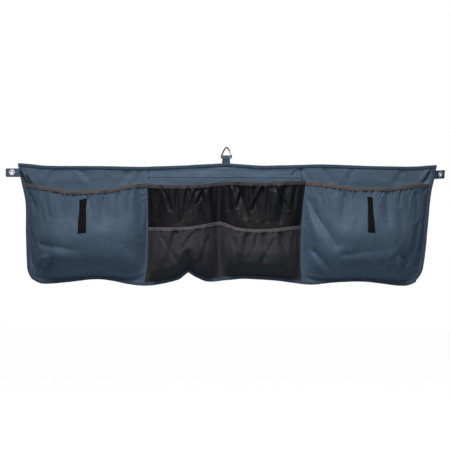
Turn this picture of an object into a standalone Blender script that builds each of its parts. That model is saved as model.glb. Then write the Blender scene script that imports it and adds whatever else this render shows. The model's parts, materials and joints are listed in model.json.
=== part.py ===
"""A hanging camp organizer: one wide back cloth with two large side pockets, two upper middle
pockets, two net pockets in front of those, two hanging tabs with eyelets and a middle loop with a
carabiner. Metres, +Z up, the front faces -Y, and the back of the top tape lies on Y = 0."""

import math

import bmesh
import bpy
from mathutils import Matrix, Vector

# Cloth thicknesses and clearances
GAP = 0.0003
PANEL_CLOTH = 0.0012
POCKET_CLOTH = 0.0010
NET_CLOTH = 0.0008
STRIP_CLOTH = 0.0012
TAPE_WALL = 0.0010
TAPE_WIDTH = 0.0090
ELASTIC_WALL = 0.0008
ELASTIC_CLEARANCE = 0.0010
ELASTIC_WIDTH = 0.0125

# Body outline
LEFT_REACH = 0.698
RIGHT_REACH = 0.714
BODY_DROP = 0.404
LEFT_CORNER_WIDTH = 0.062
LEFT_CORNER_HEIGHT = 0.067
RIGHT_CORNER_WIDTH = 0.070
RIGHT_CORNER_HEIGHT = 0.065
# (share of the width, height) of the top edge, which sags between its three supports
TOP_EDGE = (
    (0.000, 0.0075), (0.025, 0.0045), (0.062, -0.0010), (0.180, -0.0025),
    (0.290, -0.0050), (0.410, 0.0005), (0.482, 0.0060), (0.506, 0.0060),
    (0.537, 0.0030), (0.586, -0.0012), (0.664, 0.0012), (0.728, 0.0034),
    (0.800, -0.0007), (0.890, -0.0038), (0.948, -0.0043), (1.000, 0.0010),
)
# (share of the width, rise above the lowest line) of the bottom edge, which peaks at the notch
NOTCH_SHARE = 0.406
BOTTOM_EDGE = (
    (0.000, 0.0070), (0.066, 0.0070), (0.123, 0.0133), (0.181, 0.0220),
    (0.224, 0.0173), (0.267, 0.0045), (0.303, 0.0000), (0.339, 0.0055),
    (0.382, 0.0204), (0.396, 0.0342), (NOTCH_SHARE, 0.0450), (0.411, 0.0413),
    (0.425, 0.0295), (0.454, 0.0140), (0.501, 0.0197), (0.540, 0.0234),
    (0.612, 0.0180), (0.698, 0.0040), (0.755, 0.0106), (0.820, 0.0145),
    (0.870, 0.0075), (0.913, 0.0000), (1.000, 0.0010),
)
# (share of the drop, distance drawn in) of the two side edges
LEFT_TAPER = (
    (0.00, 0.0000), (0.10, 0.0090), (0.19, 0.0170), (0.32, 0.0260),
    (0.55, 0.0270), (0.85, 0.0310), (1.00, 0.0320),
)
RIGHT_TAPER = (
    (0.00, 0.0000), (0.11, 0.0090), (0.20, 0.0170), (0.30, 0.0225),
    (0.49, 0.0300), (0.71, 0.0385), (0.86, 0.0460), (1.00, 0.0500),
)

# Seams between the pockets, each with its place at the mouth and its drift on the way down
SEAM_STRIP = 0.0060
EDGE_TUCK = 0.0035
LEFT_SEAM_X = -0.2630
RIGHT_SEAM_X = 0.2724
DIVIDER_X = -0.0190
LEFT_SEAM_DRIFT = ((0.0, 0.0), (0.35, 0.0030), (0.8, 0.0), (1.0, -0.0100))
RIGHT_SEAM_DRIFT = (
    (0.0, 0.0), (0.20, -0.0080), (0.45, -0.0155), (0.75, -0.0175), (1.0, -0.0138),
)
DIVIDER_DRIFT = ((0.0, 0.0), (0.42, -0.0030), (1.0, 0.0045))

# Mouths, as (share across, drop of the mouth's edge below the middle of the top tape)
LEFT_MOUTH = (
    (0.00, 0.0585), (0.15, 0.0700), (0.27, 0.0794), (0.40, 0.0872), (0.59, 0.0845),
    (0.69, 0.0821), (0.81, 0.0706), (0.92, 0.0625), (1.00, 0.0619),
)
RIGHT_MOUTH = (
    (0.00, 0.0527), (0.14, 0.0602), (0.26, 0.0690), (0.38, 0.0754), (0.52, 0.0747),
    (0.66, 0.0754), (0.79, 0.0690), (0.89, 0.0632), (1.00, 0.0625),
)
UPPER_MOUTH = (
    (0.00, 0.0632), (0.12, 0.0659), (0.24, 0.0669), (0.36, 0.0632), (0.50, 0.0541),
    (0.62, 0.0561), (0.71, 0.0581), (0.81, 0.0561), (0.93, 0.0530), (1.00, 0.0520),
)
LOWER_MOUTH = (
    (0.00, 0.2089), (0.13, 0.2102), (0.28, 0.2065), (0.40, 0.1967), (0.475, 0.1913),
    (0.585, 0.2106), (0.71, 0.2160), (0.82, 0.2140), (0.93, 0.2072), (1.00, 0.2042),
)

# How far each pocket stands out, and the share of that at its mouth
SIDE_POCKET_DEPTH = 0.070
SIDE_POCKET_MOUTH = 0.66
UPPER_POCKET_DEPTH = 0.032
UPPER_POCKET_MOUTH = 0.75
NET_POCKET_DEPTH = 0.062
NET_POCKET_MOUTH = 0.70
BELLY = 0.58
NET_LEAD = 0.0025
SEAM_EASE = 0.0040
SEAM_PROBE = 0.0030
ELASTIC_ROW = 0.0140

# Facets along the edges and across the pockets
LONGEST_FACET = 0.034
FACET_SAG = 0.0003
POCKET_ROW = 0.026
POCKET_COLUMN = 0.0205

# Main folds of the cloth: start x and z, end x and z, depth, half width
LEFT_FOLDS = (
    (-0.588, -0.325, -0.635, -0.375, 0.012, 0.014),
    (-0.505, -0.110, -0.545, -0.270, 0.006, 0.020),
    (-0.406, -0.100, -0.412, -0.200, 0.008, 0.018),
    (-0.285, -0.080, -0.275, -0.190, 0.009, 0.014),
    (-0.470, -0.345, -0.420, -0.372, 0.014, 0.018),
    (-0.655, -0.110, -0.640, -0.150, 0.006, 0.012),
)
RIGHT_FOLDS = (
    (0.285, -0.130, 0.370, -0.265, 0.012, 0.018),
    (0.405, -0.110, 0.400, -0.190, 0.006, 0.018),
    (0.545, -0.100, 0.550, -0.180, 0.007, 0.018),
    (0.645, -0.100, 0.650, -0.170, 0.009, 0.013),
    (0.430, -0.375, 0.470, -0.345, 0.014, 0.018),
    (0.608, -0.315, 0.632, -0.375, 0.012, 0.014),
)
UPPER_FOLDS = (
    (-0.215, -0.080, -0.235, -0.170, 0.006, 0.014),
    (-0.085, -0.085, -0.060, -0.180, 0.006, 0.014),
    (0.045, -0.075, 0.075, -0.170, 0.006, 0.014),
    (0.205, -0.075, 0.185, -0.180, 0.006, 0.014),
)
NET_FOLDS = (
    (-0.170, -0.230, -0.190, -0.330, 0.008, 0.016),
    (-0.128, -0.300, -0.125, -0.350, 0.014, 0.016),
    (0.075, -0.240, 0.060, -0.330, 0.008, 0.018),
    (0.190, -0.240, 0.215, -0.330, 0.008, 0.018),
)

# Ribbed strips on the side pockets: their sides and their drops below the middle of the top tape
LEFT_STRIP_LEFT = -0.4925
LEFT_STRIP_RIGHT = -0.4665
RIGHT_STRIP_LEFT = 0.4830
RIGHT_STRIP_RIGHT = 0.5060
STRIP_TOP = 0.115
STRIP_BOTTOM = 0.228

# Hanging tabs
LEFT_TAB_TOP = -0.0086
RIGHT_TAB_TOP = -0.0158
TAB_HEIGHT = 0.0289
TAB_LENGTH = 0.0455
TAB_CLOTH = 0.0018
TAB_CORNER = 0.0030
RIGHT_TAB_TURN = math.radians(43.0)

# Eyelets
EYELET_FROM_END = 0.0205
EYELET_RADIUS = 0.0107
EYELET_HOLE = 0.0039
EYELET_WALL = 0.0008
EYELET_CROWN = 0.0012
CURL_RADIUS = 0.0064
CURL_HEIGHT = 0.0008
WASHER_WALL = 0.0005

# Hanger loop
HANGER_X = 0.0037
LOOP_WIDTH = 0.0280
LOOP_TOP_WIDTH = 0.0250
LOOP_CLOTH = 0.0012
LOOP_TAIL = 0.0068
LOOP_REACH = 0.0166
LOOP_NECK = 0.0052
BAR_CLEARANCE = 0.0004

# Carabiner
ROD_RADIUS = 0.00225
BAR_RADIUS = 0.0020
CROSSBAR_HEIGHT = 0.0071
PIVOT_X = 0.0162
PIVOT_HEIGHT = 0.0119
NOSE_X = 0.0115
NOSE_HEIGHT = 0.0248
TANG_THICKNESS = 0.0015
TANG_RADIUS = 0.0018
GATE_RADIUS = 0.0019
FORK_DEPTH = 0.0050
FINE_GAP = 0.0002
RIVET_RADIUS = 0.00055
RIVET_HEAD = 0.0011
RIVET_HEAD_HEIGHT = 0.0004
SPRING_BORE = 0.0011
SPRING_WIRE = 0.0002
SPRING_TURNS = 6
PLUNGER_LENGTH = 0.0030


def clear_scene():
    for obj in list(bpy.data.objects):
        bpy.data.objects.remove(obj, do_unlink=True)


def make_material(name, colour, roughness, metallic=0.0):
    material = bpy.data.materials.new(name)
    material.use_nodes = True
    shader = material.node_tree.nodes["Principled BSDF"]
    shader.inputs["Base Color"].default_value = (*colour, 1.0)
    shader.inputs["Roughness"].default_value = roughness
    shader.inputs["Metallic"].default_value = metallic
    return material


def smooth_curve(points):
    """A function of one number that runs smoothly through the given (position, value) points."""
    places = [p[0] for p in points]
    values = [p[1] for p in points]
    last = len(points) - 1
    slopes = []
    for i in range(len(points)):
        a, b = max(0, i - 1), min(last, i + 1)
        slopes.append((values[b] - values[a]) / (places[b] - places[a]))

    def value_at(place):
        place = min(max(place, places[0]), places[-1])
        i = 0
        while i < last - 1 and place > places[i + 1]:
            i += 1
        step = places[i + 1] - places[i]
        t = (place - places[i]) / step
        start, end = values[i], values[i + 1]
        return (
            start * (1 + 2 * t) * (1 - t) ** 2
            + slopes[i] * step * t * (1 - t) ** 2
            + end * t * t * (3 - 2 * t)
            + slopes[i + 1] * step * t * t * (t - 1)
        )

    return value_at


def mix(a, b, t):
    return a + (b - a) * t


def ease(t):
    t = min(max(t, 0.0), 1.0)
    return t * t * (3 - 2 * t)


# Layers of the seams, from the back face of the tapes forwards
PANEL_FRONT = -(TAPE_WALL + GAP + PANEL_CLOTH)
POCKET_LAYER = PANEL_FRONT - GAP - POCKET_CLOTH / 2
NET_LAYER = POCKET_LAYER - POCKET_CLOTH / 2 - GAP - NET_CLOTH / 2
ELASTIC_ROOM = ELASTIC_WALL + ELASTIC_CLEARANCE
SEAM_FRONT = min(NET_LAYER - NET_CLOTH / 2, POCKET_LAYER - ELASTIC_ROOM - POCKET_CLOTH / 2) - GAP
BARE_FRONT = PANEL_FRONT - GAP
STRIP_INSET = TAPE_WIDTH + SEAM_EASE

BODY_WIDTH = LEFT_REACH + RIGHT_REACH
NOTCH_X = -LEFT_REACH + NOTCH_SHARE * BODY_WIDTH
top_height = smooth_curve(TOP_EDGE)
bottom_rise = smooth_curve(BOTTOM_EDGE)
left_taper = smooth_curve(LEFT_TAPER)
right_taper = smooth_curve(RIGHT_TAPER)
left_drift = smooth_curve(LEFT_SEAM_DRIFT)
right_drift = smooth_curve(RIGHT_SEAM_DRIFT)
divider_drift = smooth_curve(DIVIDER_DRIFT)


def top_z(x):
    return top_height((x + LEFT_REACH) / BODY_WIDTH)


def corner_rise(distance):
    """How far a round corner of unit radius stands off its side, at a share of the radius."""
    reach = min(max(distance, 0.0), math.sin(math.pi / 4))
    return 1 - math.sqrt(1 - reach * reach)


def left_x(z):
    turn = (-BODY_DROP + LEFT_CORNER_HEIGHT - z) / LEFT_CORNER_HEIGHT
    return -LEFT_REACH + left_taper(-z / BODY_DROP) + LEFT_CORNER_WIDTH * corner_rise(turn)


def right_x(z):
    turn = (-BODY_DROP + RIGHT_CORNER_HEIGHT - z) / RIGHT_CORNER_HEIGHT
    return RIGHT_REACH - right_taper(-z / BODY_DROP) - RIGHT_CORNER_WIDTH * corner_rise(turn)


def bottom_z(x):
    left_turn = (left_x(-BODY_DROP / 2) + LEFT_CORNER_WIDTH - x) / LEFT_CORNER_WIDTH
    right_turn = (x - right_x(-0.8 * BODY_DROP) + RIGHT_CORNER_WIDTH) / RIGHT_CORNER_WIDTH
    rise = bottom_rise((x + LEFT_REACH) / BODY_WIDTH)
    rise += LEFT_CORNER_HEIGHT * corner_rise(left_turn)
    rise += RIGHT_CORNER_HEIGHT * corner_rise(right_turn)
    return -BODY_DROP + rise


def corner_point(side_x, height):
    """Where a side edge and the bottom edge meet, half way round the body's corner."""
    z = -BODY_DROP + height * corner_rise(1.0)
    x = side_x(z)
    return Vector((x, bottom_z(x)))


LEFT_CORNER = corner_point(left_x, LEFT_CORNER_HEIGHT)
RIGHT_CORNER = corner_point(right_x, RIGHT_CORNER_HEIGHT)


def seam_x(base, drift, mouth_z):
    """The place of a seam at a height, from the pockets' mouth down to the bottom edge."""
    return lambda z: base + drift((mouth_z - z) / (mouth_z + BODY_DROP))


def seam_line(x_at, start_z):
    """A seam from a height to the bottom edge, as a function of the share of its length."""
    foot_z = -BODY_DROP
    for again in range(4):
        foot_z = bottom_z(x_at(foot_z))
    foot = Vector((x_at(foot_z), bottom_z(x_at(foot_z))))

    def point_at(t):
        z = mix(start_z, foot.y, t)
        return Vector((x_at(z), z)) if t < 1.0 else foot.copy()

    return point_at


def side_line(side_x, corner, start_z):
    """A side edge from a height down to the body's corner."""

    def point_at(t):
        z = mix(start_z, corner.y, t)
        return Vector((side_x(z), z)) if t < 1.0 else corner.copy()

    return point_at


def bottom_line(start, end):
    """The bottom edge between two of its points."""

    def point_at(t):
        x = mix(start.x, end.x, t)
        return Vector((x, bottom_z(x)))

    return point_at


def inset_point(line, t, distance, inward):
    """A point beside a line, the given distance inside it, mitred where the line turns."""
    step = SEAM_PROBE / (line(1.0) - line(0.0)).length
    here = line(t)
    before = here - line(max(0.0, t - step)) if t > step else line(t + step) - here
    after = line(min(1.0, t + step)) - here if t < 1 - step else here - line(t - step)
    first = Vector((-before.y, before.x)).normalized() * inward
    second = Vector((-after.y, after.x)).normalized() * inward
    middle = (first + second).normalized()
    return here + middle * (distance / max(0.5, middle.dot(first)))


def corner_inset(point, first_normal, first_distance, second_normal, second_distance):
    """The point that lies a distance inside each of two edges that meet at a corner."""
    turn = first_normal.x * second_normal.y - first_normal.y * second_normal.x
    if abs(turn) < 0.3:
        middle = (first_normal + second_normal).normalized()
        return point + middle * max(first_distance, second_distance)
    x = (first_distance * second_normal.y - second_distance * first_normal.y) / turn
    y = (second_distance * first_normal.x - first_distance * second_normal.x) / turn
    return point + Vector((x, y))


def line_normal(line, t, inward):
    step = SEAM_PROBE / (line(1.0) - line(0.0)).length
    ahead = line(min(1.0, t + step)) - line(max(0.0, t - step))
    return Vector((-ahead.y, ahead.x)).normalized() * inward


def bulge(across, down, mouth_share):
    """How far a filled pocket stands out, from 0 at its seams to 1 at its belly."""
    side = 1 - abs(2 * across - 1) ** 3.2
    if down < BELLY:
        return side * mix(mouth_share, 1.0, math.sin(math.pi / 2 * down / BELLY))
    under = (1 - ((down - BELLY) / (1 - BELLY)) ** 2.4) ** 0.7
    return side * under


def fold_depth(folds, x, z):
    """The depth of the folds at a place on the front."""
    total = 0.0
    place = Vector((x, z))
    for start_x, start_z, end_x, end_z, depth, half_width in folds:
        start = Vector((start_x, start_z))
        run = Vector((end_x, end_z)) - start
        along = min(max((place - start).dot(run) / run.length_squared, 0.0), 1.0)
        off = (place - start - run * along).length / half_width
        total += depth * math.exp(-off * off)
    return total


class PocketGrid:
    """The middle surface of a pocket's cloth as rows of points, from its mouth to the bottom edge.
    The outermost columns and the last row lie flat in the seams. Each strip holds the distances of
    its outer and inner edge from the seam's line, and columns are shares between the two strips."""

    def __init__(self, left_strip, right_strip, columns, layer):
        self.left_strip = left_strip
        self.right_strip = right_strip
        self.columns = columns
        self.layer = layer
        self.points = []

    def level(self, left, right, t, z_at, shift_at=lambda s: 0.0):
        """The inner points of a row across the cloth, at a share down its two seams."""
        low = inset_point(left, t, self.left_strip[1], 1).x
        high = inset_point(right, t, self.right_strip[1], -1).x
        places = [mix(low, high, s) + shift_at(s) for s in self.columns]
        return [Vector((x, z_at(x))) for x in places]

    def corners(self, left, right, bottom, side, inset):
        """The ends of a row along the bottom seam, on the outer (0) or inner (1) side of the strips."""
        low = corner_inset(
            left(1.0), line_normal(left, 1.0, 1), self.left_strip[side],
            line_normal(bottom, 0.0, 1), inset,
        )
        high = corner_inset(
            right(1.0), line_normal(right, 1.0, -1), self.right_strip[side],
            line_normal(bottom, 1.0, 1), inset,
        )
        return low, high

    def foot(self, left, right, inset, shift_at=lambda s: 0.0):
        """The inner points of the row above the bottom seam."""
        bottom = bottom_line(left(1.0), right(1.0))
        low, high = self.corners(left, right, bottom, 1, inset)
        spots = [mix(low.x, high.x, s) + shift_at(s) for s in self.columns[1:-1]]
        width = right(1.0).x - left(1.0).x
        return [low, *[inset_point(bottom, (x - left(1.0).x) / width, inset, 1) for x in spots], high]

    def add_rows(self, left, right, top, foot, shares, far, depth_at, raised=0):
        """Rows between two rows of inner points; far is the share of the seams that they reach."""
        for j, t in enumerate(shares):
            row = []
            ends = []
            sides = ((left, self.left_strip, 1, 0), (right, self.right_strip, -1, -1))
            for line, strip, inward, k in sides:
                outer = inset_point(line, t * far, strip[0], inward)
                inner = inset_point(line, t * far, strip[1], inward)
                if t == 0.0:
                    inner, outer.y = top[k], top[k].y
                if t == 1.0:
                    inner = foot[k]
                ends.append((outer, inner - mix(top[k], foot[k], t)))
            front = self.layer - (ELASTIC_ROOM if j < raised else 0.0)
            row.append(Vector((ends[0][0].x, front, ends[0][0].y)))
            for i, s in enumerate(self.columns):
                place = mix(top[i], foot[i], t) + mix(ends[0][1], ends[1][1], s)
                row.append(Vector((place.x, front - depth_at(s, t, place.x, place.y), place.y)))
            row.append(Vector((ends[1][0].x, front, ends[1][0].y)))
            self.points.append(row)

    def close(self, left, right, shift_at=lambda s: 0.0):
        """The last row, tucked into the tape."""
        bottom = bottom_line(left(1.0), right(1.0))
        outer_left, outer_right = self.corners(left, right, bottom, 0, EDGE_TUCK)
        low, high = self.points[-1][1].x, self.points[-1][-2].x
        width = right(1.0).x - left(1.0).x
        row = [outer_left]
        for s in self.columns:
            x = mix(low, high, s) + shift_at(s)
            row.append(inset_point(bottom, (x - left(1.0).x) / width, EDGE_TUCK, 1))
        row.append(outer_right)
        self.points.append([Vector((p.x, self.layer, p.y)) for p in row])

    def normal(self, row, column):
        """The direction in which the cloth faces forwards at one of its points."""
        rows, columns = len(self.points) - 1, len(self.points[0]) - 1
        across = self.points[row][min(columns, column + 1)] - self.points[row][max(0, column - 1)]
        down = self.points[min(rows, row + 1)][column] - self.points[max(0, row - 1)][column]
        return down.cross(across).normalized()


def grid_object(name, points, thickness, material):
    """A sheet of cloth through rows of points, given its thickness on both sides of them."""
    shape = bmesh.new()
    verts = [[shape.verts.new(p) for p in row] for row in points]
    for upper, lower in zip(verts, verts[1:]):
        for i in range(len(upper) - 1):
            shape.faces.new((upper[i], lower[i], lower[i + 1]))
            shape.faces.new((upper[i], lower[i + 1], upper[i + 1]))
    obj = mesh_object(name, shape, material)
    solid = obj.modifiers.new("Cloth", "SOLIDIFY")
    solid.thickness = thickness
    solid.offset = 0.0
    solid.use_even_offset = True
    return obj


def mesh_object(name, shape, material, parent=None):
    mesh = bpy.data.meshes.new(name)
    bmesh.ops.recalc_face_normals(shape, faces=shape.faces)
    shape.to_mesh(mesh)
    shape.free()
    mesh.materials.append(material)
    mesh.shade_smooth()
    mesh.set_sharp_from_angle(angle=math.radians(35))
    obj = bpy.data.objects.new(name, mesh)
    obj.parent = parent
    bpy.context.scene.collection.objects.link(obj)
    return obj


def loft(name, rings, material, parent=None):
    """A closed body through rings of points, with a flat cap at each end. The diagonal of each
    facet runs from the upper corner of its first ring, as in the cloth of the pockets."""
    shape = bmesh.new()
    verts = [[shape.verts.new(p) for p in ring] for ring in rings]
    sides = len(rings[0])
    for first, second in zip(verts, verts[1:]):
        for k in range(sides):
            after = (k + 1) % sides
            if first[k].co.z > first[after].co.z:
                shape.faces.new((first[k], first[after], second[after]))
                shape.faces.new((first[k], second[after], second[k]))
            else:
                shape.faces.new((first[k], first[after], second[k]))
                shape.faces.new((first[after], second[after], second[k]))
    caps = [shape.faces.new(verts[0][::-1]), shape.faces.new(verts[-1])]
    bmesh.ops.triangulate(shape, faces=caps)
    return mesh_object(name, shape, material, parent)


def elastic_rings(grid, cloth, first, last):
    """Sections of a fold-over elastic along a pocket's mouth, between two columns of its cloth."""
    mouth, below = grid.points[0], grid.points[1]
    inner = cloth / 2 + ELASTIC_CLEARANCE
    outer = inner + ELASTIC_WALL
    nose = GAP + ELASTIC_WALL
    section = (
        (ELASTIC_WIDTH, outer), (0.0, outer), (-nose, inner / 2), (-nose, -inner / 2),
        (0.0, -outer), (ELASTIC_WIDTH, -outer), (ELASTIC_WIDTH, -inner), (-GAP, -inner),
        (-GAP, inner), (ELASTIC_WIDTH, inner),
    )
    rings = []
    for i in range(first, last + 1):
        flat = Vector((1, 0, 0))
        before = (mouth[i] - mouth[i - 1]).normalized() if i > first else flat
        after = (mouth[i + 1] - mouth[i]).normalized() if i < last else flat
        along = (before + after).normalized() if first < i < last else flat
        mitre = 1 / max(0.5, min(along.dot(before), along.dot(after)))
        down = (below[i] - mouth[i]).normalized()
        front = down.cross(along).normalized()
        behind = mitre if first < i < last else 1.0
        lifts = [n * (mitre if n > 0 else behind) for a, n in section]
        rings.append([mouth[i] + down * a + front * n for (a, b), n in zip(section, lifts)])
    return rings


def tape_section(front):
    """The section of a folded tape at one place, as points (distance inside the edge, y)."""
    nose = GAP + TAPE_WALL
    return [
        (TAPE_WIDTH, front - TAPE_WALL), (0.0, front - TAPE_WALL), (-nose, front * 0.8),
        (-nose, front * 0.2), (0.0, 0.0), (TAPE_WIDTH, 0.0),
        (TAPE_WIDTH, -TAPE_WALL), (-GAP, -TAPE_WALL), (-GAP, front), (TAPE_WIDTH, front),
    ]


def tape_ring(place, inward, front):
    return [
        Vector((place.x + inward.x * a, y, place.y + inward.y * a))
        for a, y in tape_section(front)
    ]


def steps(count, start=0.0, end=1.0):
    return [mix(start, end, k / count) for k in range(count + 1)]


def with_columns(marks, widest):
    """Shares from 0 to 1 with one at each mark, none further apart than the widest step."""
    shares = [0.0]
    for mark in (*marks, 1.0):
        count = max(1, math.ceil((mark - shares[-1]) / widest - 0.01))
        shares += steps(count, shares[-1], mark)[1:]
    return shares


def stations_on(line, marks=()):
    """Shares of a line so close that its facets keep to it, with one at each mark."""
    shares = [0.0]
    for mark in (*marks, 1.0):
        pending = [mark]
        while pending:
            start, end = shares[-1], pending[-1]
            chord = line(end) - line(start)
            sag = 0.0
            for t in (0.25, 0.5, 0.75):
                off = line(mix(start, end, t)) - line(start)
                sag = max(sag, abs(off.x * chord.y - off.y * chord.x) / chord.length)
            if sag > FACET_SAG or chord.length > LONGEST_FACET:
                pending.append((start + end) / 2)
            else:
                shares.append(pending.pop())
    return shares


def body_edge():
    """Stations round the body below the top tape: (place, inward direction, front of the tape)."""
    left_start = min(top_z(-LEFT_REACH), top_z(-LEFT_REACH + TAPE_WIDTH)) - TAPE_WIDTH - 2 * GAP
    right_start = min(top_z(RIGHT_REACH), top_z(RIGHT_REACH - TAPE_WIDTH)) - TAPE_WIDTH - 2 * GAP
    left = side_line(left_x, LEFT_CORNER, left_start)
    right = side_line(right_x, RIGHT_CORNER, right_start)
    bottom = bottom_line(LEFT_CORNER, RIGHT_CORNER)

    def front_at(z, mouth_z, tab_top):
        closed = ease((z - mouth_z - 4 * GAP) / (tab_top - TAB_HEIGHT - mouth_z))
        return mix(SEAM_FRONT, BARE_FRONT, closed)

    def side_shares(line, mouth_z, tab_top):
        heights = steps(4, mouth_z + 4 * GAP, tab_top - TAB_HEIGHT)[::-1]
        return stations_on(line, [(line(0.0).y - z) / (line(0.0).y - line(1.0).y) for z in heights])

    stations = []
    for t in side_shares(left, -LEFT_MOUTH[0][1], LEFT_TAB_TOP):
        inward = inset_point(left, t, 1.0, 1) - left(t) if t > 0 else Vector((1, 0))
        if t == 1.0:
            sides = line_normal(left, t, 1), line_normal(bottom, 0.0, 1)
            inward = corner_inset(Vector((0, 0)), sides[0], 1.0, sides[1], 1.0)
        front = front_at(left(t).y, -LEFT_MOUTH[0][1], LEFT_TAB_TOP)
        stations.append((left(t), inward, front))
    notch = (NOTCH_X - LEFT_CORNER.x) / (RIGHT_CORNER.x - LEFT_CORNER.x)
    for t in stations_on(bottom, (notch,))[1:-1]:
        stations.append((bottom(t), inset_point(bottom, t, 1.0, 1) - bottom(t), SEAM_FRONT))
    for t in reversed(side_shares(right, -RIGHT_MOUTH[-1][1], RIGHT_TAB_TOP)):
        inward = inset_point(right, t, 1.0, -1) - right(t) if t > 0 else Vector((-1, 0))
        if t == 1.0:
            sides = line_normal(right, t, -1), line_normal(bottom, 1.0, 1)
            inward = corner_inset(Vector((0, 0)), sides[0], 1.0, sides[1], 1.0)
        front = front_at(right(t).y, -RIGHT_MOUTH[-1][1], RIGHT_TAB_TOP)
        stations.append((right(t), inward, front))
    return stations


def top_stations():
    """The x places along the top edge that the panel and its tape share."""

    def line(t):
        x = mix(-LEFT_REACH, RIGHT_REACH, t)
        return Vector((x, top_z(x)))

    return [line(t).x for t in stations_on(line)]


def make_panel(material):
    """The back cloth: its outline filled and given its thickness, behind all that is sewn on it."""
    outline = [place for place, inward, front in body_edge()]
    outline += [Vector((x, top_z(x))) for x in reversed(top_stations())]
    shape = bmesh.new()
    back = -(TAPE_WALL + GAP)
    face = shape.faces.new([shape.verts.new((p.x, back, p.y)) for p in outline])
    grown = bmesh.ops.extrude_face_region(shape, geom=[face])
    moved = [v for v in grown["geom"] if isinstance(v, bmesh.types.BMVert)]
    bmesh.ops.translate(shape, verts=moved, vec=(0, -PANEL_CLOTH, 0))
    return mesh_object("back_panel", shape, material)


def make_top_binding(material):
    """The tape over the top edge. Its ends stand past the panel's corners by its own nose."""
    rings = []
    places = top_stations()
    for k, x in enumerate(places):
        slope = (top_z(x + SEAM_PROBE) - top_z(x - SEAM_PROBE)) / (2 * SEAM_PROBE)
        down = Vector((slope, -1)).normalized()
        place = Vector((x, top_z(x)))
        if k in (0, len(places) - 1):
            down = Vector((0, -1))
            place.x += (GAP + TAPE_WALL) * (1 if k else -1)
        rings.append(tape_ring(place, down, BARE_FRONT))
    return loft("top_binding", rings, material)


def make_edge_binding(material):
    """The tape round the sides and the bottom. It opens where the pockets' cloth lies in it."""
    rings = [tape_ring(place, inward, front) for place, inward, front in body_edge()]
    return loft("edge_binding", rings, material)


def pocket_rows(height, marks=()):
    """Shares down a cloth, with a row under the elastic and one at each mark."""
    return with_columns((ELASTIC_ROW / height, *marks), POCKET_ROW / height)


def nearest(values, wanted):
    return min(range(len(values)), key=lambda k: abs(values[k] - wanted))


def make_side_pocket(side, left, right, strips, mouth_points, folds, strip_x, names, materials):
    """A large pocket with its elastic and its ribbed strip."""
    cloth_material, elastic_material, strip_material = materials
    mouth = smooth_curve(mouth_points)
    mouth_left, mouth_right = left(0.0).x, right(0.0).x

    def mouth_z(x):
        return -mouth((x - mouth_left) / (mouth_right - mouth_left))

    middle_x = (strip_x[0] + strip_x[1]) / 2
    height = bottom_z(middle_x) + STRIP_INSET - mouth_z(middle_x)
    middle_t = (-(STRIP_TOP + STRIP_BOTTOM) / 2 - mouth_z(middle_x)) / height
    low = inset_point(left, middle_t, strips[0][1], 1).x
    high = inset_point(right, middle_t, strips[1][1], -1).x
    marks = [(x - low) / (high - low) for x in strip_x]
    columns = with_columns(marks, POCKET_COLUMN / (high - low))
    row_marks = [(-drop - mouth_z(middle_x)) / height for drop in (STRIP_TOP, STRIP_BOTTOM)]
    rows = pocket_rows(-height, row_marks)

    def depth_at(s, t, x, z):
        full = bulge(s, t, SIDE_POCKET_MOUTH) * SIDE_POCKET_DEPTH
        return full - fold_depth(folds, x, z) * min(1.0, full / (SIDE_POCKET_DEPTH / 2))

    grid = PocketGrid(strips[0], strips[1], columns, POCKET_LAYER)
    top = grid.level(left, right, 0.0, mouth_z)
    foot = grid.foot(left, right, STRIP_INSET)
    far = 1 - STRIP_INSET / (left(0.0) - left(1.0)).length
    grid.add_rows(left, right, top, foot, rows, far, depth_at, raised=2)
    grid.close(left, right)
    grid_object(names[0], grid.points, POCKET_CLOTH, cloth_material)
    count = len(grid.points[0]) - 1
    first, last = (1, count) if side < 0 else (0, count - 1)
    loft(names[1], elastic_rings(grid, POCKET_CLOTH, first, last), elastic_material)
    first_column, last_column = (1 + nearest(columns, mark) for mark in marks)
    first_row, last_row = (nearest(rows, mark) for mark in row_marks)
    lift = POCKET_CLOTH / 2 + GAP + STRIP_CLOTH / 2
    patch = [
        [grid.points[j][i] + grid.normal(j, i) * lift for i in range(first_column, last_column + 1)]
        for j in range(first_row, last_row + 1)
    ]
    grid_object(names[2], patch, STRIP_CLOTH, strip_material)


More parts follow.
